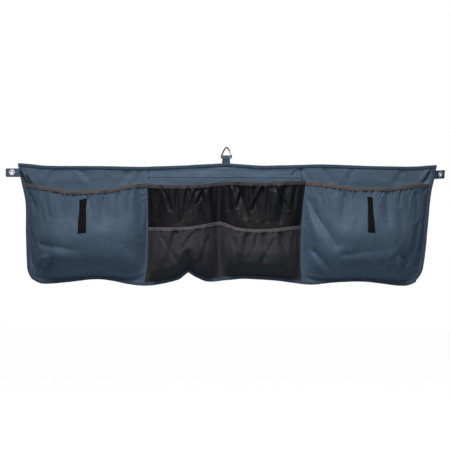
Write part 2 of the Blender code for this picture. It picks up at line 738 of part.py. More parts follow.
def make_middle_pockets(seams, black, net, elastic):
    """The two black pockets behind and the two net pockets in front, each made of one cloth."""
    upper_mouth = smooth_curve(UPPER_MOUTH)
    lower_mouth = smooth_curve(LOWER_MOUTH)
    left, right = (seam_line(x_at, -0.5 * (UPPER_MOUTH[0][1] + UPPER_MOUTH[-1][1])) for x_at in seams)
    net_left = seam_line(seams[0], -LOWER_MOUTH[0][1])
    net_right = seam_line(seams[1], -LOWER_MOUTH[-1][1])
    net_share = (LOWER_MOUTH[4][1] - UPPER_MOUTH[4][1]) / (BODY_DROP - UPPER_MOUTH[4][1])

    def across(line_pair, x):
        low, high = (line(0.0).x for line in line_pair)
        return (x - low) / (high - low)

    def upper_z(x):
        return -upper_mouth(across((left, right), x))

    def lower_z(x):
        return -lower_mouth(across((net_left, net_right), x))

    low, high = left(0.0).x + SEAM_STRIP, right(0.0).x - SEAM_STRIP
    foot_low, foot_high = left(1.0).x + SEAM_STRIP, right(1.0).x - SEAM_STRIP
    middle = (DIVIDER_X - low) / (high - low)
    notch = (NOTCH_X - foot_low) / (foot_high - foot_low)
    half = SEAM_STRIP / (high - low)
    lead = NET_LEAD / (high - low)
    near = POCKET_COLUMN / 2 / (high - low)
    marks = (notch - near, notch, notch + near, middle - half, middle + half)
    columns = with_columns(marks, 2 * near)
    first_stop = nearest(columns, middle - half)
    net_columns = list(columns)
    net_columns[first_stop] += lead
    net_columns[first_stop + 1] -= lead

    def drift_at(share, foot=False):
        """How far each column moves sideways so that the seam between the pockets drifts."""
        straight = mix(foot_low, foot_high, middle) if foot else DIVIDER_X
        wanted = DIVIDER_X + divider_drift(share) - straight
        return lambda s: wanted * (s / middle if s < middle else (1 - s) / (1 - middle))

    def lobe(s):
        """The share across one of the two pockets, and 0 on the seam between them."""
        if s <= middle - half * 0.99:
            return s / (middle - half)
        if s >= middle + half * 0.99:
            return (s - middle - half) / (1 - middle - half)
        return 0.0

    def upper_depth(s, t, x, z):
        full = bulge(lobe(s), t, UPPER_POCKET_MOUTH) * UPPER_POCKET_DEPTH
        return full - fold_depth(UPPER_FOLDS, x, z) * min(1.0, full / (UPPER_POCKET_DEPTH / 2))

    def lower_depth(s, t, x, z):
        return upper_depth(s, mix(net_share, 1.0, t), x, z)

    def net_depth(s, t, x, z):
        if lobe(s) in (0.0, 1.0):
            return 0.0
        own = bulge(lobe(s), t, NET_POCKET_MOUTH) * NET_POCKET_DEPTH
        own -= fold_depth(NET_FOLDS, x, z) * min(1.0, own / (NET_POCKET_DEPTH / 2))
        return max(own, lower_depth(s, t, x, z) + NET_LEAD) if t < 1.0 else 0.0

    strip = (GAP / 2, SEAM_STRIP)
    upper = PocketGrid(strip, strip, columns, POCKET_LAYER)
    top = upper.level(left, right, 0.0, upper_z)
    ledge = upper.level(net_left, net_right, 0.0, lower_z, drift_at(net_share))
    foot = upper.foot(left, right, STRIP_INSET + NET_LEAD, drift_at(1.0, True))
    heights = (left(0.0).y - net_left(0.0).y, net_left(0.0).y - left(1.0).y)
    upper_rows = pocket_rows(heights[0])
    net_rows = pocket_rows(heights[1])
    ledge_share = heights[0] / (heights[0] + heights[1])
    far = 1 - STRIP_INSET / heights[1]
    upper.add_rows(
        left, right, top, ledge, upper_rows[:-1], ledge_share,
        lambda s, t, x, z: upper_depth(s, t * net_share, x, z), raised=2,
    )
    upper.add_rows(net_left, net_right, ledge, foot, net_rows, far, lower_depth)
    upper.close(left, right, drift_at(1.0, True))
    grid_object("upper_pockets", upper.points, POCKET_CLOTH, black)
    count = len(upper.points[0]) - 1
    loft("upper_mouth_binding", elastic_rings(upper, POCKET_CLOTH, 0, count), elastic)

    net_strip = (GAP / 2, SEAM_STRIP - NET_LEAD)
    lower = PocketGrid(net_strip, net_strip, net_columns, NET_LAYER)
    top = lower.level(net_left, net_right, 0.0, lower_z, drift_at(net_share))
    foot = lower.foot(net_left, net_right, STRIP_INSET, drift_at(1.0, True))
    lower.add_rows(net_left, net_right, top, foot, net_rows, far, net_depth, raised=2)
    lower.close(net_left, net_right, drift_at(1.0, True))
    grid_object("lower_mesh_pockets", lower.points, NET_CLOTH, net)
    loft("lower_mouth_binding", elastic_rings(lower, NET_CLOTH, 0, count), elastic)


def make_tab(name, pivot, outward, root_top, root_bottom, material):
    """A tab in the body's plane, its root edge on the pivot's axis, with a hole for its eyelet."""
    half = TAB_CLOTH / 2
    root = Vector((-outward * half, 0, 0))
    corners = (
        root_top + root, root_bottom + root,
        Vector((outward * TAB_LENGTH, 0, root_bottom.z)), Vector((outward * TAB_LENGTH, 0, root_top.z)),
    )
    shape = bmesh.new()
    face = shape.faces.new([shape.verts.new(c + Vector((0, half, 0))) for c in corners])
    grown = bmesh.ops.extrude_face_region(shape, geom=[face])
    moved = [v for v in grown["geom"] if isinstance(v, bmesh.types.BMVert)]
    bmesh.ops.translate(shape, verts=moved, vec=(0, -TAB_CLOTH, 0))
    far = [
        e for e in shape.edges
        if all(abs(v.co.x) > TAB_LENGTH * 0.9 for v in e.verts)
        and abs(e.verts[0].co.y - e.verts[1].co.y) > half
    ]
    bmesh.ops.bevel(shape, geom=far, offset=TAB_CORNER, segments=3, affect="EDGES", profile=0.5)
    near = [
        e for e in shape.edges
        if all(abs(v.co.x) < TAB_LENGTH / 2 for v in e.verts)
        and abs(e.verts[0].co.z - e.verts[1].co.z) > half
    ]
    bmesh.ops.bevel(shape, geom=near, offset=half * 0.9, segments=3, affect="EDGES", profile=0.5)
    obj = mesh_object(name, shape, material, pivot)
    hole = rod(
        name + "_hole", eyelet_centre(outward, root_top, root_bottom), EYELET_HOLE + EYELET_WALL + GAP,
        TAB_CLOTH * 4, Matrix.Rotation(math.pi / 2, 4, "X"), 20, material, pivot,
    )
    hole.hide_render = True
    hole.display_type = "WIRE"
    cut = obj.modifiers.new("Eyelet hole", "BOOLEAN")
    cut.operation = "DIFFERENCE"
    cut.object = hole
    return obj


def eyelet_centre(outward, root_top, root_bottom):
    return Vector((outward * (TAB_LENGTH - EYELET_FROM_END), 0, (root_top.z + root_bottom.z) / 2))


def turned(name, profile, centre, sides, material, parent):
    """A ring turned round a line along Y: its profile holds points (radius, distance forwards)."""
    shape = bmesh.new()
    verts = [shape.verts.new((centre.x + r, centre.y - y, centre.z)) for r, y in profile]
    edges = [shape.edges.new((verts[k - 1], verts[k])) for k in range(len(verts))]
    bmesh.ops.spin(
        shape, geom=[*verts, *edges], cent=centre, axis=(0, 1, 0), angle=2 * math.pi, steps=sides,
        use_merge=True, use_duplicate=False,
    )
    bmesh.ops.remove_doubles(shape, verts=shape.verts, dist=1e-6)
    return mesh_object(name, shape, material, parent)


def make_eyelet(side, centre, metal, pivot):
    """The halves of an eyelet: the barrel with its front flange and rolled edge, and the washer."""
    front = TAB_CLOTH / 2 + GAP
    back = -TAB_CLOTH / 2 - GAP
    seat = back - WASHER_WALL - GAP
    barrel = EYELET_HOLE + EYELET_WALL
    profile = (
        (EYELET_RADIUS, front), (EYELET_RADIUS - 0.0002, front + EYELET_CROWN * 0.5),
        (EYELET_RADIUS - 0.0012, front + EYELET_CROWN * 0.9),
        (mix(barrel, EYELET_RADIUS, 0.45), front + EYELET_CROWN),
        (barrel, front + EYELET_CROWN * 0.7), (EYELET_HOLE, front), (EYELET_HOLE, seat),
        (barrel, seat - CURL_HEIGHT), (CURL_RADIUS - 0.0003, seat - CURL_HEIGHT), (CURL_RADIUS, seat),
        (barrel, seat), (barrel, front),
    )
    turned(side + "_eyelet", profile, centre, 20, metal, pivot)
    inside = barrel + GAP
    washer = (
        (EYELET_RADIUS, back), (EYELET_RADIUS - 0.0004, back - WASHER_WALL),
        (inside, back - WASHER_WALL), (inside, back),
    )
    turned(side + "_washer", washer, centre, 20, metal, pivot)


def make_pivot(name, place, turn=None):
    pivot = bpy.data.objects.new(name, None)
    bpy.context.scene.collection.objects.link(pivot)
    pivot.matrix_world = Matrix.Translation(place) @ (turn or Matrix.Identity(4))
    return pivot


def make_hanging_tab(side, side_x, outward, top, turn_angle, cloth, metal):
    """One hanging tab on its pivot, whose axis runs along the body's side seam."""
    bottom = top - TAB_HEIGHT
    upper, lower = Vector((side_x(top), top)), Vector((side_x(bottom), bottom))
    seam = upper - lower
    stand_off = 2 * GAP + TAPE_WALL + TAB_CLOTH / 2 + GAP
    normal = Vector((seam.y, -seam.x)).normalized() * outward
    middle = (upper + lower) / 2 + normal * stand_off
    place = Vector((middle.x, BARE_FRONT / 2 - TAPE_WALL / 2, middle.y))
    axis = Vector((seam.x, 0, seam.y)).normalized()
    turn = Matrix.Rotation(turn_angle, 4, axis)
    pivot = make_pivot(side + "_tab_pivot", place, turn)
    half = Vector((seam.x, 0, seam.y)) / 2
    make_tab(side + "_tab", pivot, outward, half, -half, cloth)
    make_eyelet(side, eyelet_centre(outward, half, -half), metal, pivot)
    return pivot


def loop_place():
    """The fold of the hanger loop, just above the top tape and in front of it."""
    nose = top_z(HANGER_X) + GAP + TAPE_WALL
    return Vector((HANGER_X, BARE_FRONT - TAPE_WALL - GAP - LOOP_CLOTH / 2, nose + GAP + LOOP_CLOTH))


def make_hanger(cloth):
    """The loop round the carabiner's bar, and its end sewn on the front of the top tape."""
    place = loop_place()
    fold = make_pivot("hanger_loop_pivot", place)
    nose = LOOP_CLOTH - GAP / 2
    eye = ROD_RADIUS + BAR_CLEARANCE
    outer = eye + LOOP_CLOTH
    outside, inside = [], []
    for angle in steps(13, math.radians(-35), math.radians(215)):
        outside.append((outer * math.cos(angle), LOOP_REACH + outer * math.sin(angle)))
        inside.append((eye * math.cos(angle), LOOP_REACH + eye * math.sin(angle)))
    for angle in steps(7, math.radians(170), math.radians(370)):
        sine = math.sin(angle)
        outside.append((nose * math.cos(angle), LOOP_NECK if sine > 0 else nose * sine))
        inside.append((GAP * math.cos(angle), LOOP_REACH / 2 + GAP * sine))
    shape = bmesh.new()
    ends = []
    for side in (-1, 1):
        rows = []
        for contour in (outside, inside):
            row = []
            for y, z in contour:
                width = mix(LOOP_WIDTH, LOOP_TOP_WIDTH, max(0.0, z / (LOOP_REACH + outer)))
                row.append(shape.verts.new((side * width / 2, -y, z)))
            rows.append(row)
        ends.append(rows)
    count = len(outside)
    for k in range(count):
        after = (k + 1) % count
        for rows in ends:
            shape.faces.new((rows[0][k], rows[0][after], rows[1][after], rows[1][k]))
        for layer in (0, 1):
            near, far = ends[0][layer], ends[1][layer]
            shape.faces.new((near[k], near[after], far[after], far[k]))
    mesh_object("hanger_loop", shape, cloth, fold)
    top = place.z - nose - GAP
    shape = bmesh.new()
    bmesh.ops.create_cube(shape, size=1.0)
    bmesh.ops.scale(shape, vec=(LOOP_WIDTH, LOOP_CLOTH, LOOP_TAIL), verts=shape.verts)
    bmesh.ops.translate(shape, vec=(place.x, place.y, top - LOOP_TAIL / 2), verts=shape.verts)
    corners = [e for e in shape.edges if abs(e.verts[0].co.y - e.verts[1].co.y) > LOOP_CLOTH / 2]
    bmesh.ops.bevel(shape, geom=corners, offset=LOOP_CLOTH, segments=2, affect="EDGES", profile=0.5)
    mesh_object("loop_tail", shape, cloth)
    return place + Vector((0, 0, LOOP_REACH))


def curve_through(points, count):
    """Points evenly spaced in parameter on a smooth curve through points chosen by hand."""
    places = []
    last = len(points) - 1
    for k in range(count + 1):
        share = k / count * last
        i = min(int(share), last - 1)
        t = share - i
        p = [points[min(max(n, 0), last)] for n in (i - 1, i, i + 1, i + 2)]
        places.append(
            p[1] + ((p[2] - p[0]) * t + (2 * p[0] - 5 * p[1] + 4 * p[2] - p[3]) * t * t
                    + (3 * p[1] - p[0] - 3 * p[2] + p[3]) * t ** 3) * 0.5
        )
    return places


def tube(name, places, radius, resolution, material, parent):
    """A round rod along points, with closed ends, as a mesh."""
    curve = bpy.data.curves.new(name, "CURVE")
    curve.dimensions = "3D"
    curve.bevel_depth = radius
    curve.bevel_resolution = resolution
    curve.use_fill_caps = True
    spline = curve.splines.new("POLY")
    spline.points.add(len(places) - 1)
    for point, place in zip(spline.points, places):
        point.co = (*place, 1.0)
    guide = bpy.data.objects.new(name + "_guide", curve)
    bpy.context.scene.collection.objects.link(guide)
    mesh = bpy.data.meshes.new_from_object(guide.evaluated_get(bpy.context.evaluated_depsgraph_get()))
    bpy.data.objects.remove(guide, do_unlink=True)
    shape = bmesh.new()
    shape.from_mesh(mesh)
    bmesh.ops.remove_doubles(shape, verts=shape.verts, dist=1e-6)
    return mesh_object(name, shape, material, parent)


def helper(obj):
    obj.hide_render = True
    obj.display_type = "WIRE"
    return obj


def boolean(obj, other, operation):
    change = obj.modifiers.new(other.name, "BOOLEAN")
    change.operation = operation
    change.object = helper(other)


def box(name, centre, size, turn, material, parent):
    shape = bmesh.new()
    matrix = Matrix.Translation(centre) @ turn @ Matrix.Diagonal((*size, 1.0))
    bmesh.ops.create_cube(shape, size=1.0, matrix=matrix)
    return mesh_object(name, shape, material, parent)


def rod(name, centre, radius, length, turn, sides, material, parent):
    shape = bmesh.new()
    bmesh.ops.create_cone(
        shape, cap_ends=True, segments=sides, radius1=radius, radius2=radius, depth=length,
        matrix=Matrix.Translation(centre) @ turn,
    )
    return mesh_object(name, shape, material, parent)


def make_carabiner(bar_place, black, steel):
    """The carabiner: its frame round the loop's bar, and the sprung gate on a rivet."""
    frame = make_pivot("carabiner_pivot", bar_place)
    pivot_place = Vector((PIVOT_X, 0, PIVOT_HEIGHT))
    nose_place = Vector((NOSE_X, 0, NOSE_HEIGHT))
    gate_line = (nose_place - pivot_place).normalized()
    stub = pivot_place - gate_line * (TANG_RADIUS + 0.0012)
    route = [
        stub, Vector((0.0180, 0, 0.0052)), Vector((0.0166, 0, 0.0014)), Vector((0.0132, 0, 0)),
        Vector((0.0, 0, 0)), Vector((-0.0128, 0, 0)), Vector((-0.0155, 0, 0.0014)),
        Vector((-0.0161, 0, 0.0048)), Vector((-0.0147, 0, 0.0100)), Vector((-0.0105, 0, 0.0194)),
        Vector((-0.0054, 0, 0.0288)), Vector((0.0007, 0, 0.0359)), Vector((0.0064, 0, 0.0315)),
        nose_place + gate_line * 0.0028, nose_place,
    ]
    frame_rod = tube("carabiner_frame", curve_through(route, 42), ROD_RADIUS, 1, black, frame)
    along_x = Matrix.Rotation(math.pi / 2, 4, "Y")
    along_y = Matrix.Rotation(math.pi / 2, 4, "X")
    left_end, right_end = -0.0155, 0.0175
    crossbar = rod(
        "crossbar_form", Vector(((left_end + right_end) / 2, 0, CROSSBAR_HEIGHT)), BAR_RADIUS,
        right_end - left_end, along_x, 10, black, frame,
    )
    boolean(frame_rod, crossbar, "UNION")
    lean = Matrix.Rotation(-math.atan2(PIVOT_X - NOSE_X, NOSE_HEIGHT - PIVOT_HEIGHT), 4, "Y")
    web = box(
        "tang_form", pivot_place - gate_line * (TANG_RADIUS * 0.9),
        (TANG_RADIUS * 2, TANG_THICKNESS, TANG_RADIUS * 2.2), lean, black, frame,
    )
    boolean(frame_rod, web, "UNION")
    disc = rod(
        "tang_eye_form", pivot_place, TANG_RADIUS * 1.02, TANG_THICKNESS * 0.98, along_y, 14, black, frame,
    )
    boolean(frame_rod, disc, "UNION")
    pin_hole = rod(
        "tang_hole", pivot_place, RIVET_RADIUS + FINE_GAP / 2, TANG_THICKNESS * 4, along_y, 12,
        black, frame,
    )
    boolean(frame_rod, pin_hole, "DIFFERENCE")

    gate = make_pivot("gate_pivot", bar_place + pivot_place, lean)
    length = (nose_place - pivot_place).length - GAP
    gate_rod = rod(
        "carabiner_gate", Vector((0, 0, (length - GATE_RADIUS) / 2)), GATE_RADIUS, length + GATE_RADIUS,
        Matrix.Identity(4), 12, steel, gate,
    )
    slot_width = TANG_THICKNESS + 2 * FINE_GAP
    slot = box(
        "fork_slot", Vector((0, 0, FORK_DEPTH / 2 - GATE_RADIUS)),
        (GATE_RADIUS * 4, slot_width, FORK_DEPTH + GATE_RADIUS), Matrix.Identity(4), steel, gate,
    )
    boolean(gate_rod, slot, "DIFFERENCE")
    slot_end = FORK_DEPTH - GATE_RADIUS / 2
    hole = rod(
        "fork_hole", Vector((0, 0, 0)), RIVET_RADIUS + FINE_GAP, GATE_RADIUS * 4, along_y, 12, steel, gate,
    )
    boolean(gate_rod, hole, "DIFFERENCE")
    bore_length = length * 0.5
    bore = rod(
        "spring_bore", Vector((0, 0, slot_end + bore_length / 2 - FINE_GAP)), SPRING_BORE,
        bore_length + FINE_GAP * 2, Matrix.Identity(4), 10, steel, gate,
    )
    boolean(gate_rod, bore, "DIFFERENCE")
    plunger_start = TANG_RADIUS + FINE_GAP * 2
    rod(
        "gate_plunger", Vector((0, 0, plunger_start + PLUNGER_LENGTH / 2)), slot_width / 2 - FINE_GAP,
        PLUNGER_LENGTH, Matrix.Identity(4), 10, steel, gate,
    )
    spring_radius = SPRING_BORE - SPRING_WIRE - FINE_GAP
    spring_start = plunger_start + PLUNGER_LENGTH + FINE_GAP + SPRING_WIRE
    spring_end = slot_end + bore_length - FINE_GAP - SPRING_WIRE
    places = []
    for k in range(SPRING_TURNS * 10 + 1):
        turn = k / 10 * 2 * math.pi
        height = mix(spring_start, spring_end, k / (SPRING_TURNS * 10))
        places.append(Vector((spring_radius * math.cos(turn), spring_radius * math.sin(turn), height)))
    tube("gate_spring", places, SPRING_WIRE, 0, steel, gate)
    half = GATE_RADIUS + FINE_GAP
    rivet = (
        (0.0, half + RIVET_HEAD_HEIGHT), (RIVET_HEAD * 0.7, half + RIVET_HEAD_HEIGHT), (RIVET_HEAD, half),
        (RIVET_RADIUS, half), (RIVET_RADIUS, -half), (RIVET_HEAD, -half),
        (RIVET_HEAD * 0.7, -half - RIVET_HEAD_HEIGHT), (0.0, -half - RIVET_HEAD_HEIGHT),
    )
    turned("gate_rivet", rivet, pivot_place, 12, steel, frame)


def main():
    clear_scene()
    blue = make_material("blue cloth", (0.072, 0.104, 0.141), 0.72)
    navy = make_material("navy tape", (0.040, 0.062, 0.092), 0.75)
    black = make_material("black cloth", (0.016, 0.016, 0.019), 0.85)
    net = make_material("black net", (0.020, 0.019, 0.020), 0.80)
    elastic = make_material("grey elastic", (0.075, 0.065, 0.068), 0.80)
    dark_elastic = make_material("dark elastic", (0.035, 0.032, 0.034), 0.80)
    ribbed = make_material("ribbed strip", (0.008, 0.008, 0.008), 0.85)
    nickel = make_material("warm nickel", (0.62, 0.56, 0.50), 0.28, 1.0)
    coated = make_material("black coated metal", (0.015, 0.014, 0.013), 0.42, 0.6)
    steel = make_material("bright steel", (0.66, 0.66, 0.68), 0.22, 1.0)

    make_panel(blue)
    make_top_binding(navy)
    make_edge_binding(navy)
    seams = (
        seam_x(LEFT_SEAM_X, left_drift, -UPPER_MOUTH[0][1]),
        seam_x(RIGHT_SEAM_X, right_drift, -UPPER_MOUTH[-1][1]),
    )
    edge_strip = (EDGE_TUCK, STRIP_INSET)
    seam_strip = (GAP / 2, SEAM_STRIP)
    make_side_pocket(
        -1, side_line(left_x, LEFT_CORNER, -LEFT_MOUTH[0][1]), seam_line(seams[0], -LEFT_MOUTH[-1][1]),
        (edge_strip, seam_strip), LEFT_MOUTH, LEFT_FOLDS, (LEFT_STRIP_LEFT, LEFT_STRIP_RIGHT),
        ("left_pocket", "left_mouth_binding", "left_strip"), (blue, elastic, ribbed),
    )
    make_side_pocket(
        1, seam_line(seams[1], -RIGHT_MOUTH[0][1]), side_line(right_x, RIGHT_CORNER, -RIGHT_MOUTH[-1][1]),
        (seam_strip, edge_strip), RIGHT_MOUTH, RIGHT_FOLDS, (RIGHT_STRIP_LEFT, RIGHT_STRIP_RIGHT),
        ("right_pocket", "right_mouth_binding", "right_strip"), (blue, elastic, ribbed),
    )
    make_middle_pockets(seams, black, net, dark_elastic)
    make_hanging_tab("left", left_x, -1, LEFT_TAB_TOP, 0.0, blue, nickel)
    make_hanging_tab("right", right_x, 1, RIGHT_TAB_TOP, RIGHT_TAB_TURN, blue, nickel)
    bar_place = make_hanger(blue)
    make_carabiner(bar_place, coated, steel)


main()
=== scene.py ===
"""Looks of the hanging camp organizer: its cloth, tapes, elastics, net, eyelets and carabiner."""

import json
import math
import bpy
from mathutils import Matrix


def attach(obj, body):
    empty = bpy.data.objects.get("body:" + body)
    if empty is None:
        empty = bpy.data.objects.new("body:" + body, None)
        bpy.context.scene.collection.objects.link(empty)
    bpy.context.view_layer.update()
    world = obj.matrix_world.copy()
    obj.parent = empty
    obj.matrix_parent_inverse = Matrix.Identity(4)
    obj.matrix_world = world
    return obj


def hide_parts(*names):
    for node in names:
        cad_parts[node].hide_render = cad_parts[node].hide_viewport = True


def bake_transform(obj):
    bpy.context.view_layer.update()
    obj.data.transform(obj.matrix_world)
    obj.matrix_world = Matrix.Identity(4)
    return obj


bl_info = {
    "name": "Camp Organizer",
    "version": (1, 0, 0),
    "blender": (4, 5, 0),
    "location": "3D View > Sidebar > Organizer",
    "description": "Builds a wide hanging cloth organizer with pockets, tabs and a carabiner",
    "category": "Add Mesh",
}

import bpy
import numpy as np
from bpy.props import FloatProperty, FloatVectorProperty, PointerProperty
from mathutils import Matrix, Vector

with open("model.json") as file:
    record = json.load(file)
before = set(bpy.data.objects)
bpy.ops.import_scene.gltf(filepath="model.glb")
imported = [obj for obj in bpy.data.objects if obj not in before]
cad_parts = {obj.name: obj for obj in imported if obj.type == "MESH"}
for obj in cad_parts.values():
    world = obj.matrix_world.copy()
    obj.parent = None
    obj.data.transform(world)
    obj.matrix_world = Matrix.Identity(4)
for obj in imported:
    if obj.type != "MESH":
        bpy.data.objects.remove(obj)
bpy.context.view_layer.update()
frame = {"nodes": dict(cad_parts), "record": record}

BODY = "organizer"
LEFT_TAB = "left_hanging_tab"
RIGHT_TAB = "right_hanging_tab"
HOOK = "carabiner"
GATE = "gate"
JOINTS = {joint["name"]: joint for joint in frame["record"]["behaviour"]["joints"]}


def thousandths(*rows):
    """A table written in thousandths, such as millimetres, in whole units."""
    return tuple(tuple(value / 1000 for value in row) for row in rows)


# Outline of the cloth
LEFT_REACH = 0.698
RIGHT_REACH = 0.714
BODY_WIDTH = LEFT_REACH + RIGHT_REACH
BODY_DROP = 0.404
LEFT_CORNER_WIDTH = 0.062
LEFT_CORNER_HEIGHT = 0.067
RIGHT_CORNER_WIDTH = 0.070
RIGHT_CORNER_HEIGHT = 0.065
# Shares of an edge's length in thousandths, and how far the edge is off its line in mm
TOP_EDGE = thousandths(
    (0, 7.5), (25, 4.5), (62, -1), (180, -2.5), (290, -5), (410, 0.5), (482, 6), (506, 6), (537, 3),
    (586, -1.2), (664, 1.2), (728, 3.4), (800, -0.7), (890, -3.8), (948, -4.3), (1000, 1),
)
BOTTOM_EDGE = thousandths(
    (0, 7), (66, 7), (123, 13.3), (181, 22), (224, 17.3), (267, 4.5), (303, 0), (339, 5.5),
    (382, 20.4), (396, 34.2), (406, 45), (411, 41.3), (425, 29.5), (454, 14), (501, 19.7),
    (540, 23.4), (612, 18), (698, 4), (755, 10.6), (820, 14.5), (870, 7.5), (913, 0), (1000, 1),
)
LEFT_TAPER = thousandths((0, 0), (100, 9), (190, 17), (320, 26), (550, 27), (850, 31), (1000, 32))
RIGHT_TAPER = thousandths(
    (0, 0), (110, 9), (200, 17), (300, 22.5), (490, 30), (710, 38.5), (860, 46), (1000, 50),
)

# Seams between the pockets and the pockets' mouths
LEFT_SEAM_X = -0.2630
RIGHT_SEAM_X = 0.2724
DIVIDER_X = -0.0190
LEFT_SEAM_DRIFT = thousandths((0, 0), (350, 3), (800, 0), (1000, -10))
RIGHT_SEAM_DRIFT = thousandths((0, 0), (200, -8), (450, -15.5), (750, -17.5), (1000, -13.8))
DIVIDER_DRIFT = thousandths((0, 0), (420, -3), (1000, 4.5))
LEFT_MOUTH = thousandths(
    (0, 58.5), (150, 70), (270, 79.4), (400, 87.2), (590, 84.5), (690, 82.1), (810, 70.6),
    (920, 62.5), (1000, 61.9),
)
RIGHT_MOUTH = thousandths(
    (0, 52.7), (140, 60.2), (260, 69), (380, 75.4), (520, 74.7), (660, 75.4), (790, 69),
    (890, 63.2), (1000, 62.5),
)
UPPER_MOUTH = thousandths(
    (0, 63.2), (120, 65.9), (240, 66.9), (360, 63.2), (500, 54.1), (620, 56.1), (710, 58.1),
    (810, 56.1), (930, 53), (1000, 52),
)
LOWER_MOUTH = thousandths(
    (0, 208.9), (130, 210.2), (280, 206.5), (400, 196.7), (475, 191.3), (585, 210.6), (710, 216),
    (820, 214), (930, 207.2), (1000, 204.2),
)

# Heights of the mouths' ends
LEFT_MOUTH_Z = -LEFT_MOUTH[0][1]
RIGHT_MOUTH_Z = -RIGHT_MOUTH[-1][1]
MIDDLE_MOUTH_Z = -0.5 * (UPPER_MOUTH[0][1] + UPPER_MOUTH[-1][1])

# How far each pocket stands out, and the share of that at its mouth
SIDE_FORM = (0.070, 0.68)
UPPER_FORM = (0.032, 0.75)
NET_FORM = (0.062, 0.70)
BELLY = 0.66

# Layers of the seams, from the back of the tapes forwards
TAPE_WALL = 0.0010
TAPE_WIDTH = 0.0090
PANEL_LAYER = -0.0019
PANEL_CLOTH = 0.0009
POCKET_LAYER = -0.0033
POCKET_CLOTH = 0.0008
NET_LAYER = -0.0045
NET_CLOTH = 0.0005
SEAM_FRONT = -0.0059
BARE_FRONT = -0.0028
ELASTIC_WALL = 0.0008
ELASTIC_WIDTH = 0.0125
# The elastics' groove, its middle and half width: pressed in and darkened by painted shade
ELASTIC_GROOVE = (0.0062, 0.0006)
BAND_STEP = 0.0022
TAPE_OVER = 0.0011
EDGE_STRIP = 0.0125
SEAM_STRIP = 0.0055
EDGE_TUCK = 0.0020
SMALL_GAP = 0.0003

# Folds of each cloth in mm: start x and z, end x and z, depth, half width
LEFT_FOLDS = thousandths(
    (-588, -325, -635, -375, 13, 14), (-505, -110, -545, -270, 6, 20),
    (-406, -100, -412, -200, 9, 18), (-285, -80, -275, -190, 11, 14),
    (-490, -372, -425, -366, 15, 13), (-655, -100, -638, -150, 10, 10),
)
RIGHT_FOLDS = thousandths(
    (285, -125, 370, -265, 17, 17), (405, -110, 400, -190, 7, 18), (545, -100, 550, -190, 9, 16),
    (645, -100, 650, -170, 10, 12), (395, -372, 490, -352, 15, 15), (606, -310, 632, -375, 14, 13),
)
UPPER_FOLDS = thousandths(
    (-215, -80, -235, -170, 8, 14), (-85, -85, -60, -180, 8, 14), (45, -75, 75, -170, 8, 14),
    (205, -75, 185, -180, 8, 14),
)
NET_FOLDS = thousandths(
    (-170, -230, -190, -330, 13, 12), (-128, -300, -125, -350, 14, 16),
    (75, -240, 60, -330, 13, 13), (190, -240, 215, -330, 13, 13),
)
HEADER_FOLDS = thousandths(
    (250, -10, 228, -34, 4.5, 6), (254, -12, 240, -50, 4, 5), (258, -12, 264, -56, 4, 5),
    (262, -10, 292, -56, 4.5, 6), (-686, -4, -669, -62, 8.5, 5), (707, -2, 673, -58, 9, 5.5),
    (-575, -16, -600, -70, 3, 12), (-490, -14, -440, -70, 2.6, 12), (-330, -15, -345, -70, 3, 12),
    (-285, -12, -300, -60, 2.6, 8), (335, -12, 360, -60, 2.6, 10), (430, -12, 412, -70, 2.8, 12),
    (600, -12, 575, -70, 3, 12),
)
# Smaller creases, and ridges of negative depth, which stand only in the visible cloth
LEFT_CREASES = thousandths(
    (-612, -95, -586, -175, 3, 9), (-548, -105, -552, -180, 2.6, 9),
    (-455, -115, -440, -210, 2.6, 10), (-358, -105, -350, -240, 3, 12),
    (-322, -95, -318, -170, 3.2, 10), (-672, -304, -560, -316, -4.2, 20),
    (-620, -265, -500, -285, 4.5, 12), (-600, -382, -500, -378, -8, 10),
    (-415, -378, -330, -392, -9, 10), (-370, -335, -300, -365, 6, 12),
    (-345, -262, -290, -306, 2, 14), (-665, -180, -655, -260, 3.5, 7),
)
RIGHT_CREASES = thousandths(
    (322, -105, 345, -175, 3.2, 9), (440, -110, 446, -215, 3.4, 12), (345, -115, 354, -165, 2.4, 8),
    (588, -110, 596, -245, 3.6, 13), (620, -100, 617, -160, 2.8, 9), (300, -290, 350, -345, 6, 12),
    (310, -375, 385, -388, -9, 10), (500, -378, 590, -376, -9, 10), (560, -300, 600, -262, -3, 16),
    (530, -330, 600, -350, 5, 12), (650, -200, 640, -290, 4, 8), (400, -300, 520, -285, 4, 14),
)
UPPER_CREASES = thousandths(
    (-165, -85, -160, -190, 5, 8), (-125, -80, -140, -180, 4.5, 7), (-235, -90, -245, -150, 4.5, 7),
    (-45, -75, -35, -160, 4.5, 7), (12, -75, 10, -150, 4.5, 6), (100, -75, 108, -180, 5, 8),
    (150, -75, 142, -185, 5, 8), (240, -70, 228, -160, 5, 7), (-200, -95, -182, -150, 6, 6),
    (-100, -88, -118, -150, 6, 6), (-70, -80, -95, -130, 5, 5), (60, -78, 42, -140, 6, 6),
    (125, -82, 92, -150, 6, 6), (180, -85, 210, -150, 6, 6),
)
NET_CREASES = thousandths(
    (-90, -225, -65, -345, 7, 10), (-222, -225, -235, -330, 6, 10), (-55, -215, -40, -300, 5, 8),
    (20, -215, 12, -290, 5, 8), (130, -235, 138, -320, 6, 10), (235, -235, 228, -310, 5, 9),
    (-210, -245, -160, -325, 6, 7), (-108, -230, -150, -290, 6, 7), (-60, -250, -85, -350, 6, 8),
    (110, -235, 85, -310, 6, 7), (165, -250, 120, -330, 5, 7), (30, -250, 50, -340, 6, 8),
)
